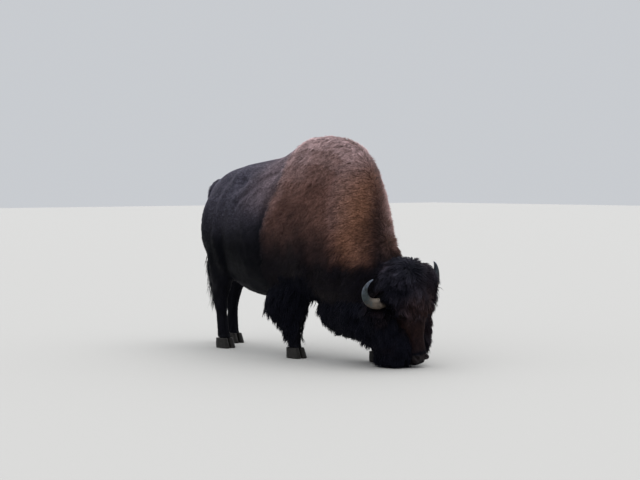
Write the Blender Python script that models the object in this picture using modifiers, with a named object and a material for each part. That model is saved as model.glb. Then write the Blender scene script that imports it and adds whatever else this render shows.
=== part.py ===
"""American bison bull, grazing with its muzzle just over the ground, at life size.

Metres, +Z up, head towards +X, the animal's left towards +Y. The flesh is modelled whole, out to
the tips of its coat, and parted with thin cuts into the parts that a person would name. The masses
of long hair (mop, beard, throat mane, chaps, tail tuft), the horns, eyes and hooves are fitted
against it. While it is modelled, x = 0 is under the top of the hump; at the end the origin moves
to the middle of the bull's own box, on the floor.
"""

import math

import bmesh
import bpy
from mathutils import Matrix, Vector

# ---------------------------------------------------------------- driving dimensions
HUMP_HEIGHT = 1.80  # floor to the top of the hump, coat included
GAP = 0.0003  # half the clearance between parts of the flesh
FIT_GAP = 0.0010  # clearance round what is set against the flesh
RING_SIDES = 28  # points round a section before remeshing
FLESH_VOXEL = 0.016
HAIR_VOXEL = 0.020
FLESH_TRIANGLES = 2300

# Sections of the trunk from the buttocks to the poll, as
# (x, top, widest level, bottom, half width, squareness of the upper half).
TRUNK = (
    (-1.60, 1.24, 1.14, 1.04, 0.06, 2.0),  # buttock
    (-1.55, 1.36, 1.10, 0.84, 0.110, 2.1),  # under the tail head
    (-1.45, 1.45, 1.07, 0.73, 0.180, 2.2),  # pin bones
    (-1.28, 1.51, 1.08, 0.61, 0.246, 2.4),  # hips
    (-1.05, 1.565, 1.02, 0.50, 0.309, 2.2),  # loin
    (-0.80, 1.60, 0.97, 0.455, 0.365, 2.0),  # middle of the barrel
    (-0.58, 1.63, 0.97, 0.455, 0.37, 1.9),  # last ribs under the cape
    (-0.42, 1.69, 0.98, 0.465, 0.36, 1.8),  # rear edge of the cape
    (-0.25, 1.78, 0.98, 0.475, 0.36, 1.7),  # rear of the hump
    (0.00, HUMP_HEIGHT, 0.97, 0.45, 0.36, 1.65),  # top of the hump
    (0.20, 1.77, 0.95, 0.42, 0.34, 1.65),  # front of the hump
    (0.36, 1.68, 0.90, 0.41, 0.31, 1.7),  # root of the neck
    (0.49, 1.51, 0.86, 0.40, 0.218, 1.65),  # middle of the neck
    (0.58, 1.24, 0.80, 0.39, 0.170, 1.6),  # crest above the poll
    (0.66, 0.98, 0.68, 0.38, 0.160, 1.8),  # behind the horns
    (0.73, 0.78, 0.58, 0.40, 0.135, 2.0),  # poll
)

# Head: a frame of its own. It hangs from the poll, a little forward, and leans to its left.
POLL = Vector((0.785, 0.055, 0.640))
HEAD_PITCH = math.radians(1.0)  # muzzle ahead of the poll
HEAD_LEAN = math.radians(10.0)  # left side higher
# Sections down the face, as (distance from the poll, half width, front, back, squareness).
HEAD = (
    (-0.03, 0.080, 0.040, -0.11, 2.0),  # crown
    (0.03, 0.130, 0.105, -0.19, 2.2),  # top of the forehead
    (0.11, 0.150, 0.135, -0.22, 2.4),  # between the horns
    (0.21, 0.138, 0.132, -0.235, 2.3),  # eyes
    (0.31, 0.108, 0.114, -0.215, 2.3),  # cheeks
    (0.41, 0.080, 0.094, -0.165, 2.2),  # bridge of the nose
    (0.51, 0.076, 0.084, -0.120, 2.3),  # nostrils
    (0.585, 0.080, 0.068, -0.095, 2.5),  # lips
    (0.628, 0.060, 0.035, -0.070, 2.3),  # tip of the muzzle
)
EYE_DOWN = 0.205
EYE_SIDE = 0.136
EYE_FRONT = 0.050
EYE_RADIUS = 0.019

# Horns: each root points out of the side of the head, then bends up round an arc.
HORN_DOWN = 0.090  # root below the poll
HORN_SIDE = 0.110
HORN_FRONT = -0.030
HORN_THICK = 0.042  # radius at the root
HORN_STRAIGHT = 0.166
HORN_BEND = 0.102  # radius of the arc
HORN_SWEEP = math.radians(154)
HORN_BACK = 0.050  # how far the outermost point lies behind the root
HORN_AHEAD = 0.050  # how far the bend brings the tip forward again

EAR_DOWN = 0.165
EAR_SIDE = 0.145
EAR_FRONT = -0.085
EAR_LENGTH = 0.150
EAR_WIDTH = 0.042
EAR_THICK = 0.018

# Feet: (x, y) of the middle of each foot, and the x at which its leg meets the body.
FEET = {
    "front_right": (-0.28, -0.165, -0.13),
    "front_left": (0.35, 0.165, 0.07),
    "hind_right": (-1.25, -0.155, -1.27),
    "hind_left": (-1.53, 0.150, -1.40),
}
# Sections up a leg, as (height, lean from foot to body, x offset, y spread, half length, half width).
FORELEG = (
    (0.055, 0.00, 0.016, 0.00, 0.068, 0.062),  # inside the hoof
    (0.085, 0.00, 0.008, 0.00, 0.062, 0.058),  # coronet
    (0.115, 0.00, 0.002, 0.00, 0.052, 0.051),  # pastern
    (0.165, 0.08, -0.006, 0.00, 0.056, 0.052),  # fetlock
    (0.245, 0.20, 0.000, 0.00, 0.042, 0.041),  # cannon
    (0.350, 0.40, 0.004, 0.00, 0.052, 0.050),  # under the knee
    (0.395, 0.50, 0.004, 0.00, 0.062, 0.058),  # knee
    (0.480, 0.70, -0.004, 0.01, 0.076, 0.066),  # forearm
    (0.600, 0.90, -0.015, 0.02, 0.125, 0.090),  # elbow
    (0.780, 1.00, 0.010, 0.04, 0.190, 0.110),  # upper arm, inside the shoulder
)
HINDLEG = (
    (0.055, 0.00, 0.016, 0.00, 0.066, 0.060),  # inside the hoof
    (0.085, 0.00, 0.008, 0.00, 0.060, 0.056),  # coronet
    (0.115, 0.00, 0.000, 0.00, 0.050, 0.048),  # pastern
    (0.165, 0.04, -0.014, 0.00, 0.060, 0.054),  # fetlock
    (0.270, 0.15, -0.030, 0.00, 0.054, 0.048),  # cannon
    (0.400, 0.32, -0.046, 0.00, 0.080, 0.056),  # under the hock
    (0.490, 0.50, -0.040, 0.00, 0.108, 0.066),  # hock
    (0.600, 0.70, 0.004, 0.02, 0.135, 0.082),  # gaskin
    (0.760, 0.90, 0.060, 0.05, 0.175, 0.098),  # stifle
    (0.950, 1.00, 0.060, 0.05, 0.220, 0.105),  # thigh
    (1.100, 1.00, 0.040, 0.02, 0.160, 0.090),  # hip, inside the haunch
)
# Cuts between the parts of the flesh: x of each, and for a leg the height of the knee or hock, the
# middle (x from the body end of the leg, y, z), rise outwards and half length of the cut at its top.
TAIL_CUT = -1.612
RUMP_CUT = -1.06
BARREL_CUT = -0.43
NECK_CUT = 0.32
HEAD_CUT = 0.685
EAR_CUT = 0.150
MUZZLE_CUT = 0.505  # below the poll
LEG_CUTS = {
    "front": (0.375, (-0.02, 0.27, 0.66), 0.75, 0.20),
    "hind": (0.470, (0.00, 0.25, 0.86), 0.60, 0.29),
}

# Hooves: two claws on each foot, under the cut end of the leg, and two dewclaws behind it.
CORONET = 0.085  # height of a claw
CLAW_LENGTH = 0.150
CLAW_WIDTH = 0.062
CLAW_SPLIT = 0.004  # half the cleft between the two
CLAW_FORWARD = 0.014
CLAW_TOE_IN = 0.006
CLAW_SHAPE = ((0.0, 0.96, 0.014), (0.012, 1.0, 0.012), (CORONET, 0.80, -0.006))  # (height, scale, shift)
DEWCLAW_AT = (-0.050, 0.027, 0.118)  # behind, beside and above the middle of the foot
DEWCLAW_RADII = (0.020, 0.016, 0.024)

# Tail: points down its middle (x, y, z) and radii.
TAIL = (
    (-1.49, 0.0, 1.40, 0.055),
    (-1.59, 0.0, 1.365, 0.050),
    (-1.637, 0.0, 1.27, 0.040),
    (-1.654, 0.005, 1.10, 0.031),
    (-1.655, 0.010, 0.92, 0.026),
    (-1.650, 0.012, 0.80, 0.024),
)
TAIL_TUFT = (
    (-1.652, 0.010, 0.86, 0.032),
    (-1.648, 0.014, 0.76, 0.042),
    (-1.640, 0.020, 0.64, 0.042),
    (-1.628, 0.026, 0.52, 0.030),
    (-1.618, 0.030, 0.42, 0.011),
)

# Long hair, as ellipsoids: (down, side, front) from the poll and (side, front, down) radii.
MOP = (
    ((-0.018, 0.000, -0.02), (0.242, 0.158, 0.205)),  # bonnet between the horns
    ((0.000, 0.152, 0.00), (0.143, 0.130, 0.152)),  # fuller over the left horn
    ((0.060, -0.155, -0.01), (0.100, 0.105, 0.115)),  # round the root of the right horn
    ((0.120, 0.000, 0.070), (0.150, 0.105, 0.150)),  # forelock over the brow
)
CHEEK_MANE = (
    ((0.170, 0.235, -0.12), (0.125, 0.120, 0.150)),  # round the ear
    ((0.320, 0.165, -0.12), (0.130, 0.130, 0.220)),  # side of the jaw
    ((0.450, 0.135, -0.10), (0.116, 0.115, 0.130)),  # corner of the mouth
)
# The beard hangs plumb: (x, y, z, radius) rows from the chin to just over the ground.
BEARD = (
    (0.688, 0.050, 0.33, 0.125),
    (0.676, 0.042, 0.24, 0.155),
    (0.666, 0.036, 0.15, 0.162),
    (0.660, 0.032, 0.075, 0.130),
    (0.656, 0.030, 0.022, 0.050),
)
# Mane under the neck, as trunk sections.
THROAT_MANE = (
    (-0.16, 0.56, 0.50, 0.43, 0.05, 2.0),
    (-0.06, 0.60, 0.48, 0.32, 0.13, 2.0),
    (0.06, 0.62, 0.46, 0.25, 0.18, 2.0),
    (0.20, 0.64, 0.46, 0.22, 0.21, 2.0),
    (0.38, 0.64, 0.46, 0.20, 0.24, 2.0),
    (0.54, 0.62, 0.44, 0.15, 0.23, 2.0),
    (0.67, 0.56, 0.38, 0.12, 0.17, 2.0),
)
# Chaps round a foreleg: (height, x from the foot, half length, half width).
CHAPS = (
    (0.66, 0.060, 0.20, 0.105),
    (0.58, -0.010, 0.26, 0.130),
    (0.48, -0.080, 0.27, 0.130),
    (0.39, -0.105, 0.235, 0.118),
    (0.31, -0.070, 0.160, 0.098),
    (0.24, -0.032, 0.100, 0.078),
    (0.19, -0.010, 0.072, 0.064),
)

WOOL = (0.105, 0.060, 0.042)
DARK_WOOL = (0.016, 0.012, 0.011)
SHORT_COAT = (0.040, 0.036, 0.038)
HORN = (0.060, 0.055, 0.050)
HOOF = (0.020, 0.018, 0.017)
EYE = (0.008, 0.005, 0.004)
MUZZLE = (0.018, 0.014, 0.014)


# ---------------------------------------------------------------- tools
def clear_scene():
    for obj in list(bpy.data.objects):
        bpy.data.objects.remove(obj)


def collection(name, helper=False):
    group = bpy.data.collections.new(name)
    bpy.context.scene.collection.children.link(group)
    group.hide_render = helper
    return group


def material(name, colour, roughness):
    mat = bpy.data.materials.new(name)
    mat.use_nodes = True
    shader = mat.node_tree.nodes["Principled BSDF"]
    shader.inputs["Base Color"].default_value = (*colour, 1.0)
    shader.inputs["Roughness"].default_value = roughness
    shader.inputs["Metallic"].default_value = 0.0
    return mat


def add_mesh(name, bm, group):
    """A new object holding the bmesh, in triangles turned outwards."""
    bmesh.ops.recalc_face_normals(bm, faces=bm.faces)
    bmesh.ops.triangulate(bm, faces=bm.faces)
    mesh = bpy.data.meshes.new(name)
    bm.to_mesh(mesh)
    bm.free()
    mesh.shade_smooth()
    obj = bpy.data.objects.new(name, mesh)
    group.objects.link(obj)
    return obj


def apply_modifiers(obj):
    """Keeps the evaluated mesh, in triangles, and drops the modifiers."""
    bpy.context.view_layer.update()
    graph = bpy.context.evaluated_depsgraph_get()
    mesh = bpy.data.meshes.new_from_object(obj.evaluated_get(graph))
    bm = bmesh.new()
    bm.from_mesh(mesh)
    bmesh.ops.triangulate(bm, faces=bm.faces)
    bm.to_mesh(mesh)
    bm.free()
    obj.modifiers.clear()
    obj.data = mesh


def smoothed(rows, steps):
    """The rows with steps - 1 more between each two, on a Catmull-Rom curve through them."""
    found = []
    for i in range(len(rows) - 1):
        before = rows[max(i - 1, 0)]
        after = rows[min(i + 2, len(rows) - 1)]
        for step in range(steps):
            t = step / steps
            row = []
            for p0, p1, p2, p3 in zip(before, rows[i], rows[i + 1], after):
                bend = t * (p2 - p0 + t * (2 * p0 - 5 * p1 + 4 * p2 - p3 + t * (3 * (p1 - p2) + p3 - p0)))
                row.append(p1 + 0.5 * bend)
            found.append(row)
    found.append(list(rows[-1]))
    return found


def squared(angle, power):
    """The point at this angle on a unit superellipse."""
    c = math.cos(angle)
    s = math.sin(angle)
    return (
        math.copysign(abs(c) ** (2 / power), c),
        math.copysign(abs(s) ** (2 / power), s),
    )


def loft_into(bm, rings):
    """A closed skin over rings of equal counts of points, flat at both ends."""
    rows = [[bm.verts.new(point) for point in ring] for ring in rings]
    sides = len(rows[0])
    for low, high in zip(rows, rows[1:]):
        for i in range(sides):
            j = (i + 1) % sides
            bm.faces.new((low[i], low[j], high[j], high[i]))
    bm.faces.new(list(reversed(rows[0])))
    bm.faces.new(rows[-1])


def tube_rings(rows, sides):
    """Round rings along a middle line of (x, y, z, radius) rows, square to it."""
    rings = []
    last = len(rows) - 1
    for i, (x, y, z, radius) in enumerate(rows):
        ahead = Vector(rows[min(i + 1, last)][:3])
        behind = Vector(rows[max(i - 1, 0)][:3])
        turn = (ahead - behind).to_track_quat("Z", "Y")
        ring = []
        for k in range(sides):
            angle = 2 * math.pi * k / sides
            spoke = turn @ Vector((math.cos(angle), math.sin(angle), 0))
            ring.append(Vector((x, y, z)) + radius * spoke)
        rings.append(ring)
    return rings


def ellipsoid_into(bm, centre, radii, turn=None):
    """A UV sphere stretched to these radii, turned and placed."""
    matrix = Matrix.Translation(centre)
    if turn is not None:
        matrix = matrix @ turn.to_4x4()
    matrix = matrix @ Matrix.Diagonal((*radii, 1.0))
    bmesh.ops.create_uvsphere(bm, u_segments=24, v_segments=14, radius=1.0, matrix=matrix)


def remeshed(name, bm, group, voxel, triangles, smoothing):
    """Overlapping closed shapes as one soft skin of about this many triangles."""
    obj = add_mesh(name, bm, group)
    remesh = obj.modifiers.new("Remesh", "REMESH")
    remesh.mode = "VOXEL"
    remesh.voxel_size = voxel
    smooth = obj.modifiers.new("Smooth", "SMOOTH")
    smooth.factor = 0.5
    smooth.iterations = smoothing
    apply_modifiers(obj)
    decimate = obj.modifiers.new("Decimate", "DECIMATE")
    decimate.use_collapse_triangulate = True
    obj.data.calc_loop_triangles()
    decimate.ratio = min(1.0, triangles / len(obj.data.loop_triangles))
    apply_modifiers(obj)
    return obj


def boolean(obj, other, operation):
    cut = obj.modifiers.new(operation.title(), "BOOLEAN")
    cut.operation = operation
    cut.solver = "EXACT"
    cut.object = other
    apply_modifiers(obj)


def copied(obj, name, group):
    twin = obj.copy()
    twin.data = obj.data.copy()
    twin.name = name
    group.objects.link(twin)
    return twin


def swollen(obj, name, amount, group):
    """A copy whose surface stands this far outside the original's."""
    twin = copied(obj, name, group)
    displace = twin.modifiers.new("Displace", "DISPLACE")
    displace.strength = amount
    displace.mid_level = 0.0
    apply_modifiers(twin)
    return twin


def as_cutter(obj):
    obj.hide_render = True
    obj.display_type = "WIRE"


def largest_body(obj):
    """Drops the crumbs that a cut leaves beside the main body."""
    bm = bmesh.new()
    bm.from_mesh(obj.data)
    left = set(bm.verts)
    bodies = []
    while left:
        stack = [left.pop()]
        body = set(stack)
        while stack:
            for edge in stack.pop().link_edges:
                for vert in edge.verts:
                    if vert in left:
                        left.remove(vert)
                        body.add(vert)
                        stack.append(vert)
        bodies.append(body)
    bodies.sort(key=len, reverse=True)
    for body in bodies[1:]:
        bmesh.ops.delete(bm, geom=list(body), context="VERTS")
    bm.to_mesh(obj.data)
    bm.free()


# ---------------------------------------------------------------- head frame
HEAD_LEFT = Vector((0.0, math.cos(HEAD_LEAN), math.sin(HEAD_LEAN)))
HANGING = Vector((0.0, math.sin(HEAD_LEAN), -math.cos(HEAD_LEAN)))
HEAD_DOWN = math.cos(HEAD_PITCH) * HANGING + math.sin(HEAD_PITCH) * Vector((1, 0, 0))
HEAD_FRONT = HEAD_LEFT.cross(HEAD_DOWN).normalized()
if HEAD_FRONT.x < 0:
    HEAD_FRONT.negate()


def on_head(down, left, front):
    """A point at these distances down from the poll, to the bull's left, and out of its forehead."""
    return POLL + down * HEAD_DOWN + left * HEAD_LEFT + front * HEAD_FRONT


# ---------------------------------------------------------------- flesh
def section_rings(sections):
    """Upright rings along the body for rows laid out as in TRUNK."""
    rings = []
    for x, top, level, bottom, half, power in smoothed(sections, 4):
        ring = []
        for k in range(RING_SIDES):
            angle = 2 * math.pi * k / RING_SIDES
            upper = math.sin(angle) > 0
            across, up = squared(angle, power if upper else 2.2)
            reach = top - level if upper else level - bottom
            ring.append(Vector((x, half * across, level + reach * up)))
        rings.append(ring)
    return rings


def head_rings():
    rings = []
    for down, half, front, back, power in smoothed(HEAD, 3):
        middle = 0.5 * (front + back)
        depth = 0.5 * (front - back)
        ring = []
        for k in range(RING_SIDES):
            across, out = squared(2 * math.pi * k / RING_SIDES, power)
            narrowing = 1.0 - 0.28 * max(0.0, -out)
            ring.append(on_head(down, half * across * narrowing, middle + depth * out))
        rings.append(ring)
    return rings


def leg_rings(place, sections):
    foot_x, foot_y, body_x = FEET[place]
    side = math.copysign(1.0, foot_y)
    rings = []
    for height, lean, shift, spread, length, width in smoothed(sections, 3):
        x = foot_x + lean * (body_x - foot_x) + shift
        y = foot_y + side * spread
        ring = []
        for k in range(16):
            angle = 2 * math.pi * k / 16
            ring.append(Vector((x + length * math.cos(angle), y + width * math.sin(angle), height)))
        rings.append(ring)
    return rings


def add_ear(bm, side):
    root = on_head(EAR_DOWN, side * EAR_SIDE * 0.8, EAR_FRONT)
    tip = on_head(EAR_DOWN + 0.045, side * (EAR_SIDE + EAR_LENGTH), EAR_FRONT - 0.03)
    along = tip - root
    turn = along.to_track_quat("X", "Z").to_matrix()
    radii = (0.5 * along.length, EAR_THICK, EAR_WIDTH)
    ellipsoid_into(bm, 0.5 * (root + tip), radii, turn)


def make_flesh(group):
    bm = bmesh.new()
    loft_into(bm, section_rings(TRUNK))
    loft_into(bm, head_rings())
    for place, (foot_x, foot_y, _) in FEET.items():
        loft_into(bm, leg_rings(place, FORELEG if place.startswith("front") else HINDLEG))
        behind, beside, above = DEWCLAW_AT
        for side in (-1, 1):
            ellipsoid_into(bm, (foot_x + behind, foot_y + side * beside, above), DEWCLAW_RADII)
    loft_into(bm, tube_rings(smoothed(TAIL, 4), 12))
    for side in (-1, 1):
        add_ear(bm, side)
        shoulder = Vector((-0.02, side * 0.17, 0.92))
        ellipsoid_into(bm, shoulder, (0.30, 0.205, 0.36))
        haunch = Vector((-1.29, side * 0.145, 1.02))
        ellipsoid_into(bm, haunch, (0.24, 0.150, 0.34))
        cheek = on_head(0.25, side * 0.085, -0.13)
        ellipsoid_into(bm, cheek, (0.09, 0.07, 0.11))
        nostril = on_head(0.572, side * 0.042, 0.045)
        ellipsoid_into(bm, nostril, (0.036, 0.040, 0.036))
    neck_side = Vector((0.40, 0.0, 0.72))
    ellipsoid_into(bm, neck_side, (0.34, 0.27, 0.36))
    return remeshed("flesh", bm, group, FLESH_VOXEL, FLESH_TRIANGLES, 6)


# ---------------------------------------------------------------- parting the flesh
def cutting_box(name, low, high, frame, group):
    """A box between two corners given in a frame of its own."""
    low = Vector(low)
    high = Vector(high)
    bm = bmesh.new()
    bmesh.ops.create_cube(bm, size=1.0)
    size = Matrix.Diagonal((*(high - low), 1.0))
    bmesh.ops.transform(bm, matrix=frame @ Matrix.Translation(0.5 * (low + high)) @ size, verts=bm.verts)
    box = add_mesh(name, bm, group)
    as_cutter(box)
    return box


def part_off(flesh, name, low, high, frame, parts, helpers):
    """Takes what lies in the box off the flesh, as a piece of its own with a gap beside it."""
    box = cutting_box(name + "_box", low, high, frame, helpers)
    inset = Vector((GAP, GAP, GAP))
    inner = cutting_box(name + "_inner", Vector(low) + inset, Vector(high) - inset, frame, helpers)
    piece = copied(flesh, name, parts)
    boolean(piece, inner, "INTERSECT")
    largest_body(piece)
    boolean(flesh, box, "DIFFERENCE")
    largest_body(flesh)
    return piece


def pitched(point, degrees):
    """A frame at the point, turned about Y."""
    return Matrix.Translation(point) @ Matrix.Rotation(math.radians(degrees), 4, "Y")


def sloped(point, rise):
    """An upright frame at the point, sheared so that its level rises by this for each unit of Y."""
    shear = Matrix.Identity(4)
    shear[2][1] = rise
    return Matrix.Translation(point) @ shear


def head_frame():
    """Left, front and up of the head as X, Y and Z, from the poll."""
    axes = Matrix((HEAD_LEFT, HEAD_FRONT, -HEAD_DOWN)).transposed().to_4x4()
    return Matrix.Translation(POLL) @ axes


def part_flesh(flesh, parts, helpers):
    def off(name, low, high, frame=Matrix.Identity(4)):
        part_off(flesh, name, low, high, frame, parts, helpers)

    for side, word in ((-1, "right"), (1, "left")):
        near, far = sorted((side * EAR_CUT, side * (EAR_CUT + 0.4)))
        low = (near, EAR_FRONT - 0.16, -EAR_DOWN - 0.16)
        high = (far, EAR_FRONT + 0.10, -EAR_DOWN + 0.10)
        off("ear_" + word, low, high, head_frame())
    off("muzzle", (-0.2, -0.3, -0.8), (0.2, 0.3, -MUZZLE_CUT), head_frame())
    off("tail", (-0.3, -0.2, -0.56), (0.0, 0.2, 0.3), pitched((TAIL_CUT, 0, 1.30), -4))
    for place, (foot_x, foot_y, body_x) in FEET.items():
        side = math.copysign(1.0, foot_y)
        knee, (x, y, z), rise, half = LEG_CUTS[place.split("_")[0]]
        x += body_x
        low = (foot_x - 0.25, foot_y - 0.14, CORONET)
        off("lower_leg_" + place, low, (foot_x + 0.25, foot_y + 0.14, knee))
        near, far = sorted((-side * (y - 0.01), side * 0.30))
        frame = sloped((x, side * y, z), side * rise)
        off("upper_leg_" + place, (-half, near, -0.60), (half, far, 0.0), frame)
    off("head", (0.0, -0.5, -0.9), (0.6, 0.5, 0.4), pitched((HEAD_CUT, 0, 0.60), 10))
    off("neck", (0.0, -0.6, -0.9), (1.0, 0.6, 1.2), pitched((NECK_CUT, 0, 0.90), -16))
    off("rump", (-2.4, -0.6, 0.2), (RUMP_CUT, 0.6, 2.0))
    off("barrel", (-2.4, -0.6, 0.2), (BARREL_CUT, 0.6, 2.0))
    flesh.name = "forequarters"


# ---------------------------------------------------------------- pieces set against the flesh
def boxes_meet(one, other):
    for axis in range(3):
        mine = [vert.co[axis] for vert in one.data.vertices]
        theirs = [vert.co[axis] for vert in other.data.vertices]
        if min(mine) > max(theirs) or min(theirs) > max(mine):
            return False
    return True


def fitted(obj, solids, helpers):
    """Cuts the solids, each swollen by the gap, out of the piece."""
    for solid in solids:
        if not boxes_meet(obj, solid):
            continue
        cutter = swollen(solid, solid.name + "_cutter", FIT_GAP, helpers)
        as_cutter(cutter)
        boolean(obj, cutter, "DIFFERENCE")
    largest_body(obj)
    return obj


def make_eye(side, parts):
    bm = bmesh.new()
    centre = on_head(EYE_DOWN, side * EYE_SIDE, EYE_FRONT)
    bmesh.ops.create_uvsphere(
        bm, u_segments=12, v_segments=6, radius=EYE_RADIUS, matrix=Matrix.Translation(centre)
    )
    return add_mesh("eye_right" if side < 0 else "eye_left", bm, parts)


def make_horn(side, parts):
    rows = []
    root = on_head(HORN_DOWN, side * HORN_SIDE, HORN_FRONT)
    rows.append((*root, HORN_THICK))
    steps = 9
    for i in range(steps + 1):
        part = i / steps
        turn = part * HORN_SWEEP
        out = HORN_STRAIGHT + HORN_BEND * math.sin(turn)
        up = HORN_BEND * (1 - math.cos(turn))
        back = HORN_BACK * math.sin(turn)
        front = HORN_FRONT - back + HORN_AHEAD * part
        point = on_head(HORN_DOWN - up, side * (HORN_SIDE + out), front)
        rows.append((*point, 0.005 + (HORN_THICK - 0.005) * (1 - part**1.25)))
    bm = bmesh.new()
    loft_into(bm, tube_rings(rows, 10))
    return add_mesh("horn_right" if side < 0 else "horn_left", bm, parts)


def make_hair(name, bm, triangles, parts):
    return remeshed(name, bm, parts, HAIR_VOXEL, triangles, 4)


def make_mop(parts):
    bm = bmesh.new()
    for (down, left, front), radii in MOP:
        ellipsoid_into(bm, on_head(down, left, front), radii, head_frame().to_3x3())
    return make_hair("mop", bm, 200, parts)


def make_cheek_mane(side, parts):
    bm = bmesh.new()
    for (down, out, front), radii in CHEEK_MANE:
        ellipsoid_into(bm, on_head(down, side * out, front), radii, head_frame().to_3x3())
    return make_hair("cheek_mane_right" if side < 0 else "cheek_mane_left", bm, 130, parts)


def make_beard(parts):
    bm = bmesh.new()
    loft_into(bm, tube_rings(smoothed(BEARD, 4), 16))
    return make_hair("beard", bm, 110, parts)


def make_throat_mane(parts):
    bm = bmesh.new()
    loft_into(bm, section_rings(THROAT_MANE))
    return make_hair("throat_mane", bm, 140, parts)


def make_chaps(place, parts):
    foot_x, foot_y, _ = FEET[place]
    rings = []
    for height, shift, length, width in smoothed(CHAPS, 3):
        ring = []
        for k in range(18):
            angle = 2 * math.pi * k / 18
            x = foot_x + shift + length * math.cos(angle)
            ring.append(Vector((x, foot_y + width * math.sin(angle), height)))
        rings.append(ring)
    bm = bmesh.new()
    loft_into(bm, rings)
    return make_hair("chaps_" + place.split("_")[1], bm, 130, parts)


def make_tail_tuft(parts):
    bm = bmesh.new()
    loft_into(bm, tube_rings(smoothed(TAIL_TUFT, 3), 12))
    return make_hair("tail_tuft", bm, 100, parts)


def make_claw(place, side, parts):
    """One half of a cloven hoof: flat under, sloping in front, flat beside the cleft."""
    foot_x, foot_y, _ = FEET[place]
    middle_y = foot_y + side * (CLAW_SPLIT + 0.5 * CLAW_WIDTH)
    rings = []
    for height, scale, shift in CLAW_SHAPE:
        ring = []
        for k in range(10):
            along, across = squared(2 * math.pi * k / 10, 2.6)
            half = 0.5 * CLAW_WIDTH * (1.0 if across * side < 0 else scale)
            x = foot_x + CLAW_FORWARD + shift + 0.5 * CLAW_LENGTH * scale * along
            y = middle_y + half * across - CLAW_TOE_IN * along * side
            ring.append(Vector((x, y, height)))
        rings.append(ring)
    bm = bmesh.new()
    loft_into(bm, rings)
    return add_mesh("claw_" + place + ("_outer" if side * foot_y > 0 else "_inner"), bm, parts)


def finish_part(parts):
    """Materials by name, and the origin under the middle of the bull's box."""
    finishes = {
        "horn": material("horn", HORN, 0.55),
        "claw": material("hoof", HOOF, 0.60),
        "eye": material("eye", EYE, 0.12),
        "muzzle": material("muzzle skin", MUZZLE, 0.45),
        "wool": material("cape wool", WOOL, 0.95),
        "dark": material("dark wool", DARK_WOOL, 0.95),
        "short": material("short coat", SHORT_COAT, 0.80),
    }
    kinds = {
        "horn": ("horn",),
        "claw": ("claw",),
        "eye": ("eye",),
        "muzzle": ("muzzle",),
        "wool": ("forequarters", "neck"),
        "dark": ("mop", "cheek", "beard", "throat", "chaps", "tail", "head", "ear", "upper_leg_front"),
        "short": ("barrel", "rump", "lower_leg", "upper_leg_hind"),
    }
    corners = []
    for obj in parts.objects:
        corners += [vert.co for vert in obj.data.vertices]
    middle_x = 0.5 * (min(c.x for c in corners) + max(c.x for c in corners))
    middle_y = 0.5 * (min(c.y for c in corners) + max(c.y for c in corners))
    move = Matrix.Translation((-middle_x, -middle_y, 0.0))
    for obj in parts.objects:
        obj.data.transform(move)
        obj.data.materials.clear()
        for kind, starts in kinds.items():
            if obj.name.startswith(starts):
                obj.data.materials.append(finishes[kind])
        obj.data.shade_smooth()


def main():
    clear_scene()
    parts = collection("american_bison")
    helpers = collection("cutters", helper=True)
    flesh = make_flesh(parts)
    eyes = [make_eye(side, parts) for side in (-1, 1)]
    fitted(flesh, eyes, helpers)
    whole = copied(flesh, "whole_flesh", helpers)
    as_cutter(whole)

    masses = [make_horn(-1, parts), make_horn(1, parts), make_mop(parts)]
    masses += [make_cheek_mane(-1, parts), make_cheek_mane(1, parts), make_beard(parts)]
    masses += [make_chaps(place, parts) for place in FEET if place.startswith("front")]
    masses += [make_throat_mane(parts), make_tail_tuft(parts)]
    uncut = [whole] + eyes
    for mass in masses:
        plain = copied(mass, mass.name + "_uncut", helpers)
        as_cutter(plain)
        fitted(mass, uncut, helpers)
        uncut.append(plain)

    part_flesh(flesh, parts, helpers)
    for place in FEET:
        for side in (-1, 1):
            make_claw(place, side, parts)
    finish_part(parts)


main()
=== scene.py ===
"""Skin, coat, eyes, horns, hooves and studio for a life-size american bison.

The frame gives the animal's outline out to the tips of its hair. One skin is drawn
inside that outline, lower where the coat is deeper, and the coat is laid over it as
solid tufts: woolly on the cape, long and hanging on the head, throat and forelegs,
short and flat on the barrel, rump and hind legs.
"""

import math
from typing import NamedTuple

import bmesh
import bpy
import numpy as np
from bpy.props import FloatProperty, FloatVectorProperty, IntProperty, PointerProperty
from mathutils import Matrix, Vector
from mathutils.bvhtree import BVHTree
from mathutils.kdtree import KDTree


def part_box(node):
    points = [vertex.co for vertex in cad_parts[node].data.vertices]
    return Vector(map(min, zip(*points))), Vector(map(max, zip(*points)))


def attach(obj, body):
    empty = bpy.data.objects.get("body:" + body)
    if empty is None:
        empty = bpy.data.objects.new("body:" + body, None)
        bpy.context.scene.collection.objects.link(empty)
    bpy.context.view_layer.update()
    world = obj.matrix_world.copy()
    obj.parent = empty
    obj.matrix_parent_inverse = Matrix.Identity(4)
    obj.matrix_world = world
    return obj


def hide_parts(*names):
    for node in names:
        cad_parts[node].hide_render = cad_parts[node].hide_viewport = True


bl_info = {
    "name": "American Bison",
    "version": (1, 0, 0),
    "blender": (4, 5, 0),
    "location": "View3D > Sidebar > Bison",
    "description": "Builds a life-size american bison with its skin and coat",
    "category": "Object",
}

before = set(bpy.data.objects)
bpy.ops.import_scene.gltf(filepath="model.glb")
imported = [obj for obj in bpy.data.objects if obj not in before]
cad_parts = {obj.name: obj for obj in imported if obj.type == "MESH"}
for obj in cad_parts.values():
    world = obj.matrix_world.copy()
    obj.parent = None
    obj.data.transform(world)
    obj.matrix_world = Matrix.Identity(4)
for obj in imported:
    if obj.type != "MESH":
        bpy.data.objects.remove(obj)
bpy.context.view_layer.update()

# ---------------------------------------------------------------- places on the animal

BACK = np.array((-1.0, 0.0, 0.0))
FLOORWARD = np.array((0.0, 0.0, -1.0))


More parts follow.
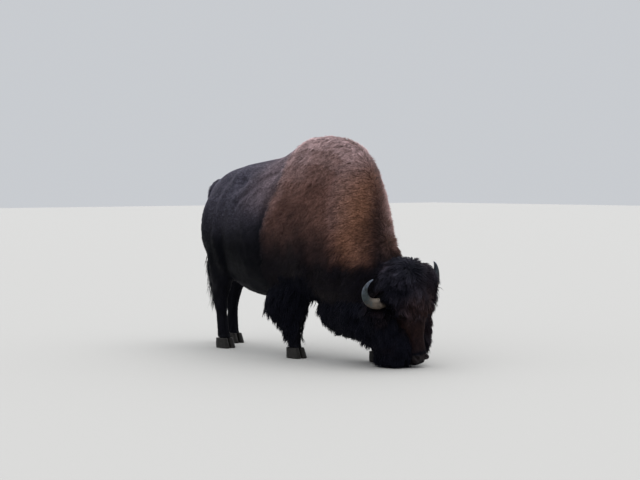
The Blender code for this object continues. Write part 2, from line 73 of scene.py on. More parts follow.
def middle_of(node):
    """The middle of a frame node's box."""
    low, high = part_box(node)
    return 0.5 * (np.array(low) + np.array(high))


HEAD_PITCH = math.radians(1.0)  # muzzle ahead of the poll
HEAD_LEAN = math.radians(10.0)  # left side higher
EYE_DOWN = 0.205  # from the poll to the eyes
EYE_SIDE = 0.136
EYE_FRONT = 0.050
EYE_RADIUS = 0.019

HEAD_LEFT = np.array((0.0, math.cos(HEAD_LEAN), math.sin(HEAD_LEAN)))
HEAD_DOWN = math.cos(HEAD_PITCH) * np.array(
    (0.0, math.sin(HEAD_LEAN), -math.cos(HEAD_LEAN))
) + math.sin(HEAD_PITCH) * np.array((1.0, 0.0, 0.0))
HEAD_DOWN /= np.linalg.norm(HEAD_DOWN)
HEAD_FRONT = np.cross(HEAD_DOWN, HEAD_LEFT)
HEAD_FRONT *= np.sign(HEAD_FRONT[0]) / np.linalg.norm(HEAD_FRONT)
BETWEEN_EYES = 0.5 * (middle_of("eye_left") + middle_of("eye_right"))
POLL = BETWEEN_EYES - EYE_DOWN * HEAD_DOWN - EYE_FRONT * HEAD_FRONT
POLL_AHEAD = 0.785  # from under the hump's top to the poll
POLL_ASIDE = 0.055  # the head is carried this far to the animal's left
HUMP = POLL - np.array((POLL_AHEAD, POLL_ASIDE, 0.0))
HUMP[2] = 0.0  # the floor under the hump's top


def from_hump(points):
    """Columns: ahead of the hump's top, left of the backbone and above the floor."""
    away = points - HUMP
    return away[:, 0], away[:, 1], away[:, 2]


def on_head(down, left, front):
    """A point given in the head's own directions from the poll."""
    return POLL + down * HEAD_DOWN + left * HEAD_LEFT + front * HEAD_FRONT


def in_head(points):
    """Distances down, left and front of the poll, one column each."""
    away = points - POLL
    return away @ HEAD_DOWN, away @ HEAD_LEFT, away @ HEAD_FRONT


# ---------------------------------------------------------------- the coat's kinds


class Coat(NamedTuple):
    """How one kind of hair grows. Lengths are in metres."""

    depth: float  # from the tips down to the skin
    length: float
    width: float
    lift: float  # degrees off the skin at the root
    droop: float  # share of the way from lying to hanging at the tip
    curl: float  # sideways swing of a lock
    turns: float  # swings along one lock
    clump: float  # how far tips of one clump draw together
    spacing: float  # between the middles of clumps
    soft: float  # how far a tuft is shaded as the surface under it
    rings: int
    tufts: int


COATS = {
    "cape": Coat(0.034, 0.072, 0.0056, 36, 0.20, 0.0070, 1.1, 0.40, 0.026, 0.55, 2, 60000),
    "mop": Coat(0.042, 0.092, 0.0072, 29, 0.35, 0.0085, 0.9, 0.50, 0.030, 0.45, 3, 9000),
    "mane": Coat(0.036, 0.100, 0.0076, 22, 0.55, 0.0068, 0.9, 0.50, 0.035, 0.45, 3, 8400),
    "beard": Coat(0.022, 0.130, 0.0075, 18, 0.80, 0.0100, 1.2, 0.60, 0.030, 0.40, 3, 2600),
    "throat": Coat(0.032, 0.105, 0.0076, 24, 0.60, 0.0068, 0.9, 0.55, 0.035, 0.40, 3, 6400),
    "chaps": Coat(0.030, 0.115, 0.0080, 26, 0.65, 0.0080, 1.1, 0.55, 0.035, 0.40, 3, 5200),
    "foreleg": Coat(0.022, 0.060, 0.0065, 30, 0.50, 0.0050, 1.0, 0.40, 0.025, 0.50, 2, 4600),
    "short": Coat(0.009, 0.028, 0.0050, 14, 0.10, 0.0012, 0.5, 0.20, 0.025, 0.66, 1, 60000),
    "shank": Coat(0.006, 0.022, 0.0044, 11, 0.10, 0.0010, 0.5, 0.15, 0.020, 0.75, 1, 11000),
    "tail": Coat(0.008, 0.050, 0.0050, 16, 0.40, 0.0030, 0.8, 0.30, 0.020, 0.50, 2, 1200),
    "tuft": Coat(0.018, 0.165, 0.0042, 14, 0.80, 0.0090, 1.0, 0.35, 0.020, 0.30, 4, 1300),
    "face": Coat(0.009, 0.026, 0.0044, 18, 0.25, 0.0020, 0.7, 0.20, 0.020, 0.65, 1, 11000),
    "ear": Coat(0.003, 0.034, 0.0036, 24, 0.35, 0.0030, 0.8, 0.25, 0.015, 0.50, 1, 1600),
    "nose": Coat(0.003, 0.009, 0.0024, 20, 0.20, 0.0005, 0.5, 0.10, 0.015, 0.60, 1, 2600),
}
KINDS = list(COATS)


def both(part):
    return f"{part}_left", f"{part}_right"


KIND_NODES = (  # the coat's kind and the frame's nodes that bear it
    ("cape", ("forequarters", "neck")),
    ("short", ("barrel", "rump")),
    ("tail", ("tail",)),
    ("tuft", ("tail_tuft",)),
    ("face", ("head",)),
    ("nose", ("muzzle",)),
    ("ear", both("ear")),
    ("mop", ("mop",)),
    ("mane", both("cheek_mane")),
    ("beard", ("beard",)),
    ("throat", ("throat_mane",)),
    ("chaps", both("chaps")),
    ("foreleg", both("upper_leg_front")),
    ("short", both("upper_leg_hind")),
    ("shank", both("lower_leg_front") + both("lower_leg_hind")),
)
NODE_KINDS = {node: kind for kind, nodes in KIND_NODES for node in nodes}
HAIR_KINDS = ("tuft", "mop", "mane", "beard", "throat", "chaps")  # nodes of hair alone
FLESH_NODES = [node for node, kind in NODE_KINDS.items() if kind not in HAIR_KINDS]
SHORT_KINDS = ("short", "shank", "tail")


def share_of(shares, *kinds):
    """How much of each place's coat is of these kinds together."""
    return shares[:, [KINDS.index(kind) for kind in kinds]].sum(1)


# ---------------------------------------------------------------- sums on arrays


def unit(vectors):
    """Each row made one long."""
    return vectors / np.maximum(np.linalg.norm(vectors, axis=-1, keepdims=True), 1e-9)


def ease(low, high, x):
    """0 below low, 1 above high, smooth between."""
    t = np.clip((x - low) / (high - low), 0.0, 1.0)
    return t * t * (3 - 2 * t)


def hump(distance, reach):
    """1 at no distance, fading to nothing past reach."""
    return np.exp(-((distance / reach) ** 2))


def lattice(cells, seed):
    """A fixed random number for each whole-numbered cell."""
    x, y, z = (cells[..., i].astype(np.int64) for i in range(3))
    mixed = x * 73856093 ^ y * 19349663 ^ z * 83492791 ^ seed * 2654435761
    mixed = (mixed ^ (mixed >> 13)) * 1274126177 & 0x7FFFFFFF
    return ((mixed ^ (mixed >> 16)) & 0xFFFF) / 65535.0


def patchy(points, size, seed):
    """Smooth noise from -1 to 1 with features of the given size."""
    scaled = points / size
    base = np.floor(scaled)
    t = scaled - base
    t = t * t * (3 - 2 * t)
    total = np.zeros(len(points))
    for corner in np.ndindex(2, 2, 2):
        share = np.prod(np.where(corner, t, 1 - t), axis=1)
        total += share * lattice(base + np.array(corner), seed)
    return 2 * total - 1


def across(vectors, normals):
    """What is left of the vectors along the surface, one long."""
    flat = vectors - normals * np.sum(vectors * normals, axis=-1, keepdims=True)
    return unit(flat)


def from_line(x, z, line):
    """Distance in the side view from a line of (x, z) points."""
    best = np.full(len(x), 1e9)
    for (x0, z0), (x1, z1) in zip(line, line[1:]):
        run = np.array((x1 - x0, z1 - z0))
        t = ((x - x0) * run[0] + (z - z0) * run[1]) / (run @ run)
        t = np.clip(t, 0, 1)
        gap = np.hypot(x - x0 - t * run[0], z - z0 - t * run[1])
        best = np.minimum(best, gap)
    return best


class Net:
    """A mesh's vertices and edges, for averaging values over neighbours."""

    def __init__(self, mesh):
        self.count = len(mesh.vertices)
        a, b = read_out(mesh.edges, "vertices", 2, np.int32).T
        self.here = np.concatenate((a, b))
        self.there = np.concatenate((b, a))
        self.near = np.maximum(np.bincount(self.here, minlength=self.count), 1)

    def mean(self, values):
        columns = values.reshape(self.count, -1)
        out = np.empty_like(columns)
        for i in range(columns.shape[1]):
            picked = columns[self.there, i]
            out[:, i] = np.bincount(self.here, picked, self.count) / self.near
        return out.reshape(values.shape)

    def spread(self, values, passes):
        for _ in range(passes):
            values = 0.5 * values + 0.5 * self.mean(values)
        return values

    def fair(self, points, passes):
        """Smooths points without shrinking what they enclose."""
        for _ in range(passes):
            points = points + 0.50 * (self.mean(points) - points)
            points = points - 0.53 * (self.mean(points) - points)
        return points


def read_out(values, field, width, kind=float):
    """One field of all of a mesh's vertices, edges or faces, with a row for each."""
    found = np.empty(len(values) * width, kind)
    values.foreach_get(field, found)
    return found.reshape(-1, width)


def write_in(values, field, data, kind=np.float32):
    values.foreach_set(field, data.astype(kind).ravel())


def points_of(mesh):
    return read_out(mesh.vertices, "co", 3)


def normals_of(mesh):
    return read_out(mesh.vertex_normals, "vector", 3)


def set_points(mesh, points):
    write_in(mesh.vertices, "co", points)
    mesh.update()


def set_vectors(mesh, name, values):
    """Stores one vector for each vertex, for the mesh's material to read."""
    if name in mesh.attributes:
        mesh.attributes.remove(mesh.attributes[name])
    made = mesh.attributes.new(name, "FLOAT_VECTOR", "POINT")
    write_in(made.data, "vector", values)


def linked(name, data):
    """A new object in the scene, made of a mesh, a light or a camera."""
    piece = bpy.data.objects.new(name, data)
    bpy.context.scene.collection.objects.link(piece)
    return piece


def settled(piece):
    """Applies a piece's modifiers for good."""
    bpy.context.view_layer.update()
    seen = piece.evaluated_get(bpy.context.evaluated_depsgraph_get())
    mesh = bpy.data.meshes.new_from_object(seen)
    piece.modifiers.clear()
    piece.data = mesh
    return piece


def mesh_of(bm, name):
    """Turns an edited mesh into a named one."""
    mesh = bpy.data.meshes.new(name)
    bm.to_mesh(mesh)
    bm.free()
    return mesh


def smooth_shaded(mesh):
    mesh.polygons.foreach_set("use_smooth", np.ones(len(mesh.polygons), bool))


def in_even_cells(piece, size):
    """Draws a piece's surface anew from even cells, which joins what overlaps."""
    cells = piece.modifiers.new("cells", "REMESH")
    cells.mode = "VOXEL"
    cells.voxel_size = size
    return settled(piece)


def stand_for(piece, node):
    """Puts a finished piece in the place of one of the frame's nodes."""
    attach(piece, "root")
    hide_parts(node)


# ---------------------------------------------------------------- materials


def feed(tree, node, **inputs):
    """Sets or links a node's inputs. An input's name may be a number, written n0, n1 ..."""
    for name, value in inputs.items():
        is_number = name[0] == "n" and name[1:].isdigit()
        socket = node.inputs[int(name[1:]) if is_number else name.replace("_", " ")]
        if isinstance(value, bpy.types.NodeSocket):
            tree.links.new(value, socket)
        else:
            socket.default_value = value


def add_node(tree, kind, settings=None, **inputs):
    """A shader node with its settings and inputs."""
    made = tree.nodes.new("ShaderNode" + kind)
    for name, value in (settings or {}).items():
        setattr(made, name, value)
    feed(tree, made, **inputs)
    return made


def new_material(name):
    material = bpy.data.materials.new(name)
    material.use_nodes = True
    tree = material.node_tree
    tree.nodes.clear()
    surface = add_node(tree, "BsdfPrincipled")
    add_node(tree, "OutputMaterial", None, Surface=surface.outputs[0])
    return material, tree, surface


def opaque(colour):
    """Four numbers for a colour of three; a socket stays as it is."""
    return colour if isinstance(colour, bpy.types.NodeSocket) else (*colour[:3], 1.0)


def blended(tree, share, low, high):
    """Colour low where share is 0 and high where it is 1."""
    settings = {"data_type": "RGBA"}
    mix = add_node(tree, "Mix", settings, n0=share, n6=opaque(low), n7=opaque(high))
    return mix.outputs[2]


def worked_out(tree, operation, a, b):
    return add_node(tree, "Math", {"operation": operation}, n0=a, n1=b).outputs[0]


def ranged(tree, value, low, high, to_low, to_high):
    made = add_node(tree, "MapRange", None, n0=value, n1=low, n2=high, n3=to_low, n4=to_high)
    return made.outputs[0]


def ramped(tree, value, first, last, *between):
    """A colour ramp, with each stop given as its place and colour."""
    ramp = add_node(tree, "ValToRGB", None, Fac=value)
    stops = ramp.color_ramp.elements
    for stop, (place, colour) in zip(stops, (first, last)):
        stop.position = place
        stop.color = opaque(colour)
    for place, colour in between:
        stops.new(place).color = opaque(colour)
    return ramp.outputs[0]


def mask_values(tree, name):
    """The three numbers of a stored vector."""
    read = add_node(tree, "Attribute", {"attribute_name": name}).outputs["Vector"]
    return add_node(tree, "SeparateXYZ", None, n0=read).outputs


def place_on(tree):
    return add_node(tree, "TexCoord").outputs["Object"]


def noise_at(tree, place, scale, detail):
    return add_node(tree, "TexNoise", None, Vector=place, Scale=scale, Detail=detail).outputs[0]


def add_bump(tree, surface, height, strength, distance):
    bump = add_node(tree, "Bump", None, Strength=strength, Distance=distance, Height=height)
    feed(tree, surface, Normal=bump.outputs[0])


# Painted shade: each tuft is darker towards its root, as if shaded by the hair over it.
ROOT_SHADE = 0.42  # brightness of a tuft at its root
UNLIKE = (0.50, 1.50)  # brightness of the darkest and palest tufts
FLECKS = (0.68, 1.32)  # the same for small flecks over the coat


def hair_colour(tree, colours):
    """The animal's colours with painted highlight, sheen and shade, the same for skin and coat."""
    wool, gold, short = mask_values(tree, "coat_marks_and_shade")
    along, shade, pale = mask_values(tree, "coat_strand")
    colour = blended(tree, short, colours.dark, colours.short)
    colour = blended(tree, wool, colour, colours.wool)
    colour = blended(tree, gold, colour, colours.gold)
    # Painted sheen of sky light where the hair is not wool; pale tips on the wool, most of them
    # painted highlight.
    pale_with_painted_light = blended(tree, wool, colours.painted_sheen, colours.pale)
    colour = blended(tree, pale, colour, pale_with_painted_light)
    # Painted shade at the root of each tuft, and on the skin under the coat.
    lit = ranged(tree, along, 0.0, 0.8, ROOT_SHADE, 1.0)
    varied = ranged(tree, shade, 0.0, 1.0, *UNLIKE)
    fleck = ranged(tree, noise_at(tree, place_on(tree), 65.0, 2.0), 0.3, 0.7, *FLECKS)
    strength = worked_out(tree, "MULTIPLY", worked_out(tree, "MULTIPLY", lit, varied), fleck)
    return add_node(tree, "HueSaturation", None, Value=strength, Color=colour).outputs[0]


class Gloss(NamedTuple):
    """How one kind of hair takes the light."""

    roughness: float
    specular: float
    sheen: float
    tint: tuple


GLOSS = {
    "wool": Gloss(0.80, 0.05, 0.13, (1.0, 0.86, 0.84, 1.0)),
    "dark": Gloss(0.44, 0.05, 0.010, (0.55, 0.68, 1.0, 1.0)),
    "sleek": Gloss(0.40, 0.03, 0.006, (0.70, 0.80, 1.0, 1.0)),
}
KIND_GLOSS = {"cape": "wool", **dict.fromkeys(SHORT_KINDS, "sleek")}  # dark for the rest
SHEEN_ROUGHNESS = 0.45


def set_gloss(tree, surface, gloss):
    feed(
        tree,
        surface,
        Roughness=gloss.roughness,
        Specular_IOR_Level=gloss.specular,
        Specular_Tint=gloss.tint,
        Sheen_Weight=gloss.sheen,
        Sheen_Roughness=SHEEN_ROUGHNESS,
        Sheen_Tint=gloss.tint,
    )


def coat_material(colours, gloss):
    """Hair seen as tufts: soft, a little glossy, paler towards the tips, with painted shade at the
    roots.
    """
    name = "bison_coat_" + gloss
    if name in bpy.data.materials:
        return bpy.data.materials[name]
    material, tree, surface = new_material(name)
    feed(tree, surface, Base_Color=hair_colour(tree, colours))
    set_gloss(tree, surface, GLOSS[gloss])
    return material


def combed(tree, direction, fine, long):
    """Noise drawn out along a direction, as flat hair lies."""
    turn = Vector(direction).to_track_quat("X", "Z").to_euler()
    settings = {"vector_type": "TEXTURE"}
    mapped = add_node(tree, "Mapping", settings, Vector=place_on(tree), Rotation=turn)
    settings = {"operation": "MULTIPLY"}
    sizes = (long, fine, fine)
    drawn = add_node(tree, "VectorMath", settings, n0=mapped.outputs[0], n1=sizes)
    return noise_at(tree, drawn.outputs[0], 1.0, 3.0)


LEATHER = ((0.006, 0.005, 0.006), (0.022, 0.018, 0.018))  # bare skin, darkest and palest
LEATHER_ROUGHNESS = 0.30


def skin_material(colours):
    """Short hair lying flat, and bare damp skin round the nostrils and lips."""
    material, tree, surface = new_material("bison_skin")
    bare, hanging, _ = mask_values(tree, "skin_marks")
    place = place_on(tree)
    leather = blended(tree, noise_at(tree, place, 60.0, 4.0), *LEATHER)
    sleek = GLOSS["sleek"]
    set_gloss(tree, surface, sleek)
    rough = ranged(tree, bare, 0.0, 1.0, sleek.roughness, LEATHER_ROUGHNESS)
    colour = blended(tree, bare, hair_colour(tree, colours), leather)
    feed(tree, surface, Base_Color=colour, Roughness=rough)
    flat = combed(tree, (-0.75, 0.0, -0.6), 260.0, 26.0)
    fallen = combed(tree, (0.0, 0.0, -1.0), 320.0, 30.0)
    streaks = add_node(tree, "Mix", None, n0=hanging, n2=flat, n3=fallen).outputs[0]
    pebbles = add_node(tree, "TexVoronoi", None, Vector=place, Scale=260.0).outputs[0]
    relief = add_node(tree, "Mix", None, n0=bare, n2=streaks, n3=pebbles).outputs[0]
    add_bump(tree, surface, relief, 0.55, 0.003)
    return material


def horn_material(colours):
    """Horn in growth rings, tan where it leaves the hair and blue-grey towards the tip."""
    material, tree, surface = new_material("bison_horn")
    along, around, _ = mask_values(tree, "horn_marks")
    cloud = noise_at(tree, place_on(tree), 30.0, 5.0)
    strayed = worked_out(tree, "ADD", along, ranged(tree, cloud, 0.35, 0.65, -0.07, 0.07))
    root, tip = (0.44, colours.horn_root), (0.92, colours.horn_tip)
    plain = ramped(tree, strayed, root, tip, (0.58, colours.horn), (0.72, colours.horn))
    stain = ranged(tree, cloud, 0.3, 0.7, 0.45, 1.45)
    colour = add_node(tree, "HueSaturation", None, Value=stain, Color=plain).outputs[0]
    length = worked_out(tree, "MULTIPLY", along, 7.0)
    fibre = add_node(tree, "CombineXYZ", None, n0=length, n1=around).outputs[0]
    grain = noise_at(tree, fibre, 9.0, 4.0)
    rough = ranged(tree, grain, 0.3, 0.7, 0.42, 0.66)
    feed(tree, surface, Base_Color=colour, Roughness=rough, Specular_IOR_Level=0.28)
    add_bump(tree, surface, grain, 0.5, 0.0015)
    return material


def hoof_material(colours):
    """Dark worn horn with rings round it and a scuffed lower edge."""
    material, tree, surface = new_material("bison_hoof")
    place = place_on(tree)
    height = add_node(tree, "SeparateXYZ", None, n0=place).outputs[2]
    cloud = noise_at(tree, place, 42.0, 5.0)
    strayed = worked_out(tree, "ADD", height, ranged(tree, cloud, 0, 1, 0, 0.03))
    worn = ranged(tree, strayed, 0.03, 0.012, 0, 1)
    colour = blended(tree, worn, colours.hoof, colours.hoof_edge)
    rough = ranged(tree, cloud, 0.3, 0.7, 0.50, 0.75)
    feed(tree, surface, Base_Color=colour, Roughness=rough, Specular_IOR_Level=0.25)
    waves = {"Vector": place, "Scale": 38.0, "Distortion": 3.0, "Detail": 2.0}
    rings = add_node(tree, "TexWave", {"bands_direction": "Z"}, **waves)
    add_bump(tree, surface, rings.outputs[1], 0.4, 0.0012)
    return material


PUPIL = (0.001, 0.001, 0.001)
IRIS_EDGE = (0.005, 0.003, 0.002)
EYE_WHITE = (0.008, 0.005, 0.004)  # dark brown in this animal


def eye_material(colours):
    """A wet dark eye with a brown ring round a wide pupil."""
    material, tree, surface = new_material("bison_eye")
    off_axis, _, _ = mask_values(tree, "eye_marks")
    iris, edge = (0.14, colours.iris), (0.27, IRIS_EDGE)
    colour = ramped(tree, off_axis, (0.10, PUPIL), (0.36, EYE_WHITE), iris, edge)
    feed(tree, surface, Base_Color=colour, Roughness=0.10, Specular_IOR_Level=0.10)
    return material


# ---------------------------------------------------------------- settings


class BisonSkinSettings(bpy.types.PropertyGroup):
    cell: FloatProperty(
        name="Cell", description="Size of the skin's faces", default=0.010, unit="LENGTH"
    )
    relief: FloatProperty(
        name="Relief", description="How strongly bone and muscle show", default=1.0
    )
    fairing: IntProperty(name="Fairing", description="Smoothing passes", default=14)


class BisonCoatSettings(bpy.types.PropertyGroup):
    length: FloatProperty(
        name="Length", description="Length of all hair against the usual", default=1.0
    )
    density: FloatProperty(
        name="Density", description="Number of tufts against the usual", default=1.0
    )
    curl: FloatProperty(name="Curl", description="Curl against the usual", default=1.0)


def colour_property(name, description, default):
    return FloatVectorProperty(
        name=name, description=description, default=default, subtype="COLOR", min=0, max=1
    )


class BisonColourSettings(bpy.types.PropertyGroup):
    dark: colour_property("Dark wool", "Head, beard, throat and chaps", (0.0038, 0.0036, 0.0062))
    short: colour_property("Short coat", "Barrel, rump and legs", (0.0034, 0.0034, 0.0052))
    # Painted sheen: bluish sky light on the short coat's back and flanks and on the mop's top.
    painted_sheen: colour_property("Bloom", "Short coat where it is bleached", (0.132, 0.124, 0.170))
    wool: colour_property("Cape", "Woolly cape", (0.098, 0.049, 0.041))
    gold: colour_property("Gold", "Sides of the neck", (0.190, 0.088, 0.052))
    # Painted highlight of sky light on the top and front of the hump, with some bleaching of the
    # tips.
    pale: colour_property("Bleached tips", "Top and front of the hump", (0.56, 0.41, 0.43))
    horn_root: colour_property("Horn root", "Horn where it leaves the hair", (0.072, 0.057, 0.045))
    horn: colour_property("Horn", "Middle of the horn", (0.018, 0.026, 0.029))
    horn_tip: colour_property("Horn tip", "Last third of the horn", (0.066, 0.080, 0.110))
    hoof: colour_property("Hoof", "Hoof wall", (0.008, 0.007, 0.0065))
    hoof_edge: colour_property("Hoof edge", "Worn lower edge", (0.022, 0.019, 0.016))
    iris: colour_property("Iris", "Ring round the pupil", (0.018, 0.008, 0.004))


class BisonStageSettings(bpy.types.PropertyGroup):
    floor: colour_property("Floor", "Studio floor", (0.35, 0.35, 0.345))
    horizon: colour_property("Horizon", "Light from low all round", (0.58, 0.60, 0.63))
    zenith: colour_property("Zenith", "Light from straight above", (1.0, 1.0, 1.0))
    sky_light: FloatProperty(name="Dome light", description="Strength overhead", default=2.1)
    key_power: FloatProperty(name="Key light", description="Soft light from above", default=0.9)
    lens: FloatProperty(name="Lens", description="Focal length", default=85.0, unit="CAMERA")


def colours_of(context):
    return context.scene.bison_colours


# ---------------------------------------------------------------- skin

WORK = {}  # arrays that the skin's operator leaves for those of the coat
SWELLING = 0.0008  # more than half the gap between two nodes


def outline_mesh():
    """All flesh and hair nodes as one mesh, each swollen so that they run together."""
    corners, faces, kinds = [], [], []
    start = 0
    for node, kind in NODE_KINDS.items():
        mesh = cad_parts[node].data
        corners.append(points_of(mesh) + SWELLING * normals_of(mesh))
        for face in mesh.polygons:
            faces.append([start + i for i in face.vertices])
            kinds.append(KINDS.index(kind))
        start += len(mesh.vertices)
    return np.concatenate(corners), faces, np.array(kinds)


def refined(piece, wanted, times):
    """Splits the faces near wanted places into four, as often as asked."""
    bm = bmesh.new()
    bm.from_mesh(piece.data)
    for step in range(times):
        inside = wanted(np.array([face.calc_center_median() for face in bm.faces]), step)
        chosen = [face for face, use in zip(bm.faces, inside) if use]
        edges = list({edge for face in chosen for edge in face.edges})
        bmesh.ops.subdivide_edges(bm, edges=edges, cuts=1, use_grid_fill=True)
    bm.to_mesh(piece.data)
    bm.free()


def fine_places(centres, step):
    """Where the skin needs smaller faces: face and ears, then lids and nose, then lids."""
    down, left, front = in_head(centres)
    if step == 0:
        face = (down > 0.14) & (front > -0.12) & (np.abs(left) < 0.17) & (down < 0.7)
        ears = (down > 0.10) & (down < 0.28) & (np.abs(left) > 0.15) & (front < 0)
        return face | (ears & (front > -0.2))
    to_eye = to_nearest_eye(centres)
    if step == 2:
        return to_eye < 0.034
    return (to_eye < 0.055) | ((down > 0.49) & (front > -0.12) & (np.abs(left) < 0.12))


# The cape's rear edge, as heights and how far ahead of the hump's top it lies there. Its
# lower edge and that edge's softness, as places ahead of the hump's top and heights.
REAR_EDGE = ((0.5, 0.90, 1.05, 1.35, 1.80), (-0.49, -0.475, -0.460, -0.345, -0.330))
LOW_EDGE = ((-0.45, 0.00, 0.20, 0.34, 0.50, 0.66), (1.09, 1.08, 1.02, 0.85, 0.83, 0.89))
LOW_SOFTNESS = ((0.15, 0.40), (0.28, 0.08))
EYE_REACH = 0.052  # nearer to the eyes than this, the hair is the face's


def cape_edge(points):
    """How far a point lies ahead of the cape's rear edge."""
    x, _, z = from_hump(points)
    return x - np.interp(z, *REAR_EDGE) + 0.018 * patchy(points, 0.09, 5)


def kind_shares(points, nearest, net):
    """Crisp and blurred tables, a column for each kind of coat and each row adding up to 1."""
    kind = nearest.copy()
    cape, short = KINDS.index("cape"), KINDS.index("short")
    trunk = (kind == cape) | (kind == short)
    ahead = cape_edge(points) > 0
    kind[trunk & ahead] = cape
    kind[trunk & ~ahead] = short
    kind[to_nearest_eye(points) < EYE_REACH] = KINDS.index("face")
    shares = np.zeros((len(points), len(KINDS)))
    shares[np.arange(len(points)), kind] = 1.0
    return net.spread(shares, 4), net.spread(shares, 26)


def column(values, name):
    """One number for each vertex, mixed from the coats there."""
    return values @ np.array([getattr(COATS[kind], name) for kind in KINDS])


# Lines in the side view, as (x, z), that bone and muscle draw on the flank and haunch.
LOIN_FOLD = ((-0.90, 1.28), (-0.856, 1.312), (-0.666, 1.435), (-0.469, 1.557))
FLANK_FOLD = ((-0.80, 1.25), (-0.743, 1.296), (-0.64, 1.362), (-0.528, 1.451))
HAUNCH_EDGE = ((-0.98, 1.47), (-1.05, 1.40), (-1.12, 1.32), (-1.17, 1.22), (-1.19, 1.10))
HAUNCH_EDGE += ((-1.19, 0.98), (-1.16, 0.88), (-1.13, 0.78), (-1.11, 0.66))
RELIEF_LINES = (  # the line, how far ahead and down it is moved, its height and reach
    (LOIN_FOLD, 0.0, 0.0, 0.013, 0.052),
    (LOIN_FOLD, 0.035, 0.045, -0.017, 0.038),
    (FLANK_FOLD, 0.0, 0.0, 0.006, 0.040),
    (FLANK_FOLD, 0.035, 0.045, -0.007, 0.035),
    (HAUNCH_EDGE, 0.0, 0.0, 0.012, 0.062),
    (HAUNCH_EDGE, -0.090, 0.0, -0.012, 0.065),
)
RELIEF_SPOTS = (  # x and z, how much flatter than round, height and reach
    (-0.965, 1.445, 1.0, 0.022, 0.060),  # point of the hip
    (-0.865, 1.415, 1.1, -0.034, 0.075),  # hollow before it
    (-1.47, 1.33, 1.0, 0.012, 0.065),  # seat bone
)
RIB_SPACING = 0.095
RIB_RISE = 0.0005


def body_relief(points, normals):
    """Height of bone and muscle over the plain trunk, in metres."""
    x, _, z = from_hump(points)
    rise = np.zeros(len(points))
    for line, ahead, down, height, reach in RELIEF_LINES:
        rise += height * hump(from_line(x - ahead, z + down, line), reach)
    for spot_x, spot_z, flatter, height, reach in RELIEF_SPOTS:
        rise += height * hump(np.hypot(x - spot_x, (z - spot_z) * flatter), reach)
    ribs = np.sin((x + 0.25 * z) * 2 * math.pi / RIB_SPACING)
    ribs *= ease(-0.90, -0.75, x) * ease(-0.36, -0.46, x)
    ribs *= ease(0.62, 0.80, z) * ease(1.25, 1.05, z)
    rise += RIB_RISE * ribs
    rise += 0.007 * patchy(points, 0.17, 3) + 0.0020 * patchy(points, 0.06, 4)
    return rise * ease(0.15, 0.60, np.abs(normals[:, 1]))


def neck_front(points):
    """1 on the front of the neck, which slopes back as it rises."""
    x, _, z = from_hump(points)
    return ease(0.36, 0.50, x + 0.25 * (z - 1.0)) * ease(0.72, 0.90, z)


CREST_SLOPE = 0.17  # how fast the neck's crest moves to the right as it falls
CREST_TOP = 1.27  # height where it lies in the middle
CREST_DEPTH = 0.005


def crest_fold(points):
    """1 in the fold between the neck's crest and its side, faint on the left."""
    _, y, z = from_hump(points)
    middle = 0.007 - CREST_SLOPE * (CREST_TOP - z)
    wide = 0.045 + 0.06 * ease(1.25, 0.95, z)
    aside = hump(y - middle, wide) + 0.25 * hump(y - 0.11, 0.040)
    return aside * neck_front(points) * ease(1.62, 1.48, z)


def eye_middle(side):
    return on_head(EYE_DOWN, side * EYE_SIDE, EYE_FRONT)


def to_nearest_eye(points):
    """Distance from the middle of the nearer eyeball."""
    return np.minimum(*(np.linalg.norm(points - eye_middle(side), axis=1) for side in (-1, 1)))


LID_THICK = 0.0032
SLIT = (0.80, 0.52)  # half the open slit's width and height against the eyeball's radius
SLIT_RISE = 0.0008


def lid_shape(points, side):
    """Raises the skin before one eye into lids that close over the ball, all but a slit."""
    out = unit(side * HEAD_LEFT + 0.55 * HEAD_FRONT)
    level = unit(np.cross(HEAD_DOWN, out))
    upright = -across(HEAD_DOWN, out)
    away = points - eye_middle(side)
    h, k, w = away @ level, away @ upright, away @ out
    wide = np.hypot(h, k)
    slit = np.hypot(h / SLIT[0], (k - SLIT_RISE) / SLIT[1]) / EYE_RADIUS
    lid = EYE_RADIUS + LID_THICK + 0.0016 * hump(slit - 1.15, 0.13)
    lid += 0.0014 * (k > 0) - 0.0020 * hump(slit - 1.60, 0.14)
    under = EYE_RADIUS - 0.005
    shell = under + (lid - under) * ease(0.93, 1.03, slit)
    dome = np.sqrt(np.maximum(shell**2 - wide**2, 0.0))
    before = ease(0.038, 0.021, wide) * (np.linalg.norm(away, axis=1) < 0.060)
    bare = ease(1.55, 1.10, slit) * (before > 0)
    return points + (before * (dome - w))[:, None] * out, bare


NOSTRIL = (0.572, 0.043, 0.070)  # down, side and front of the poll
NOSTRIL_REACH = 0.020
NOSTRIL_DEPTH = 0.022
MOUTH_DOWN = 0.600  # from the poll to the lips' line at the front
MOUTH_DEPTH = 0.0075


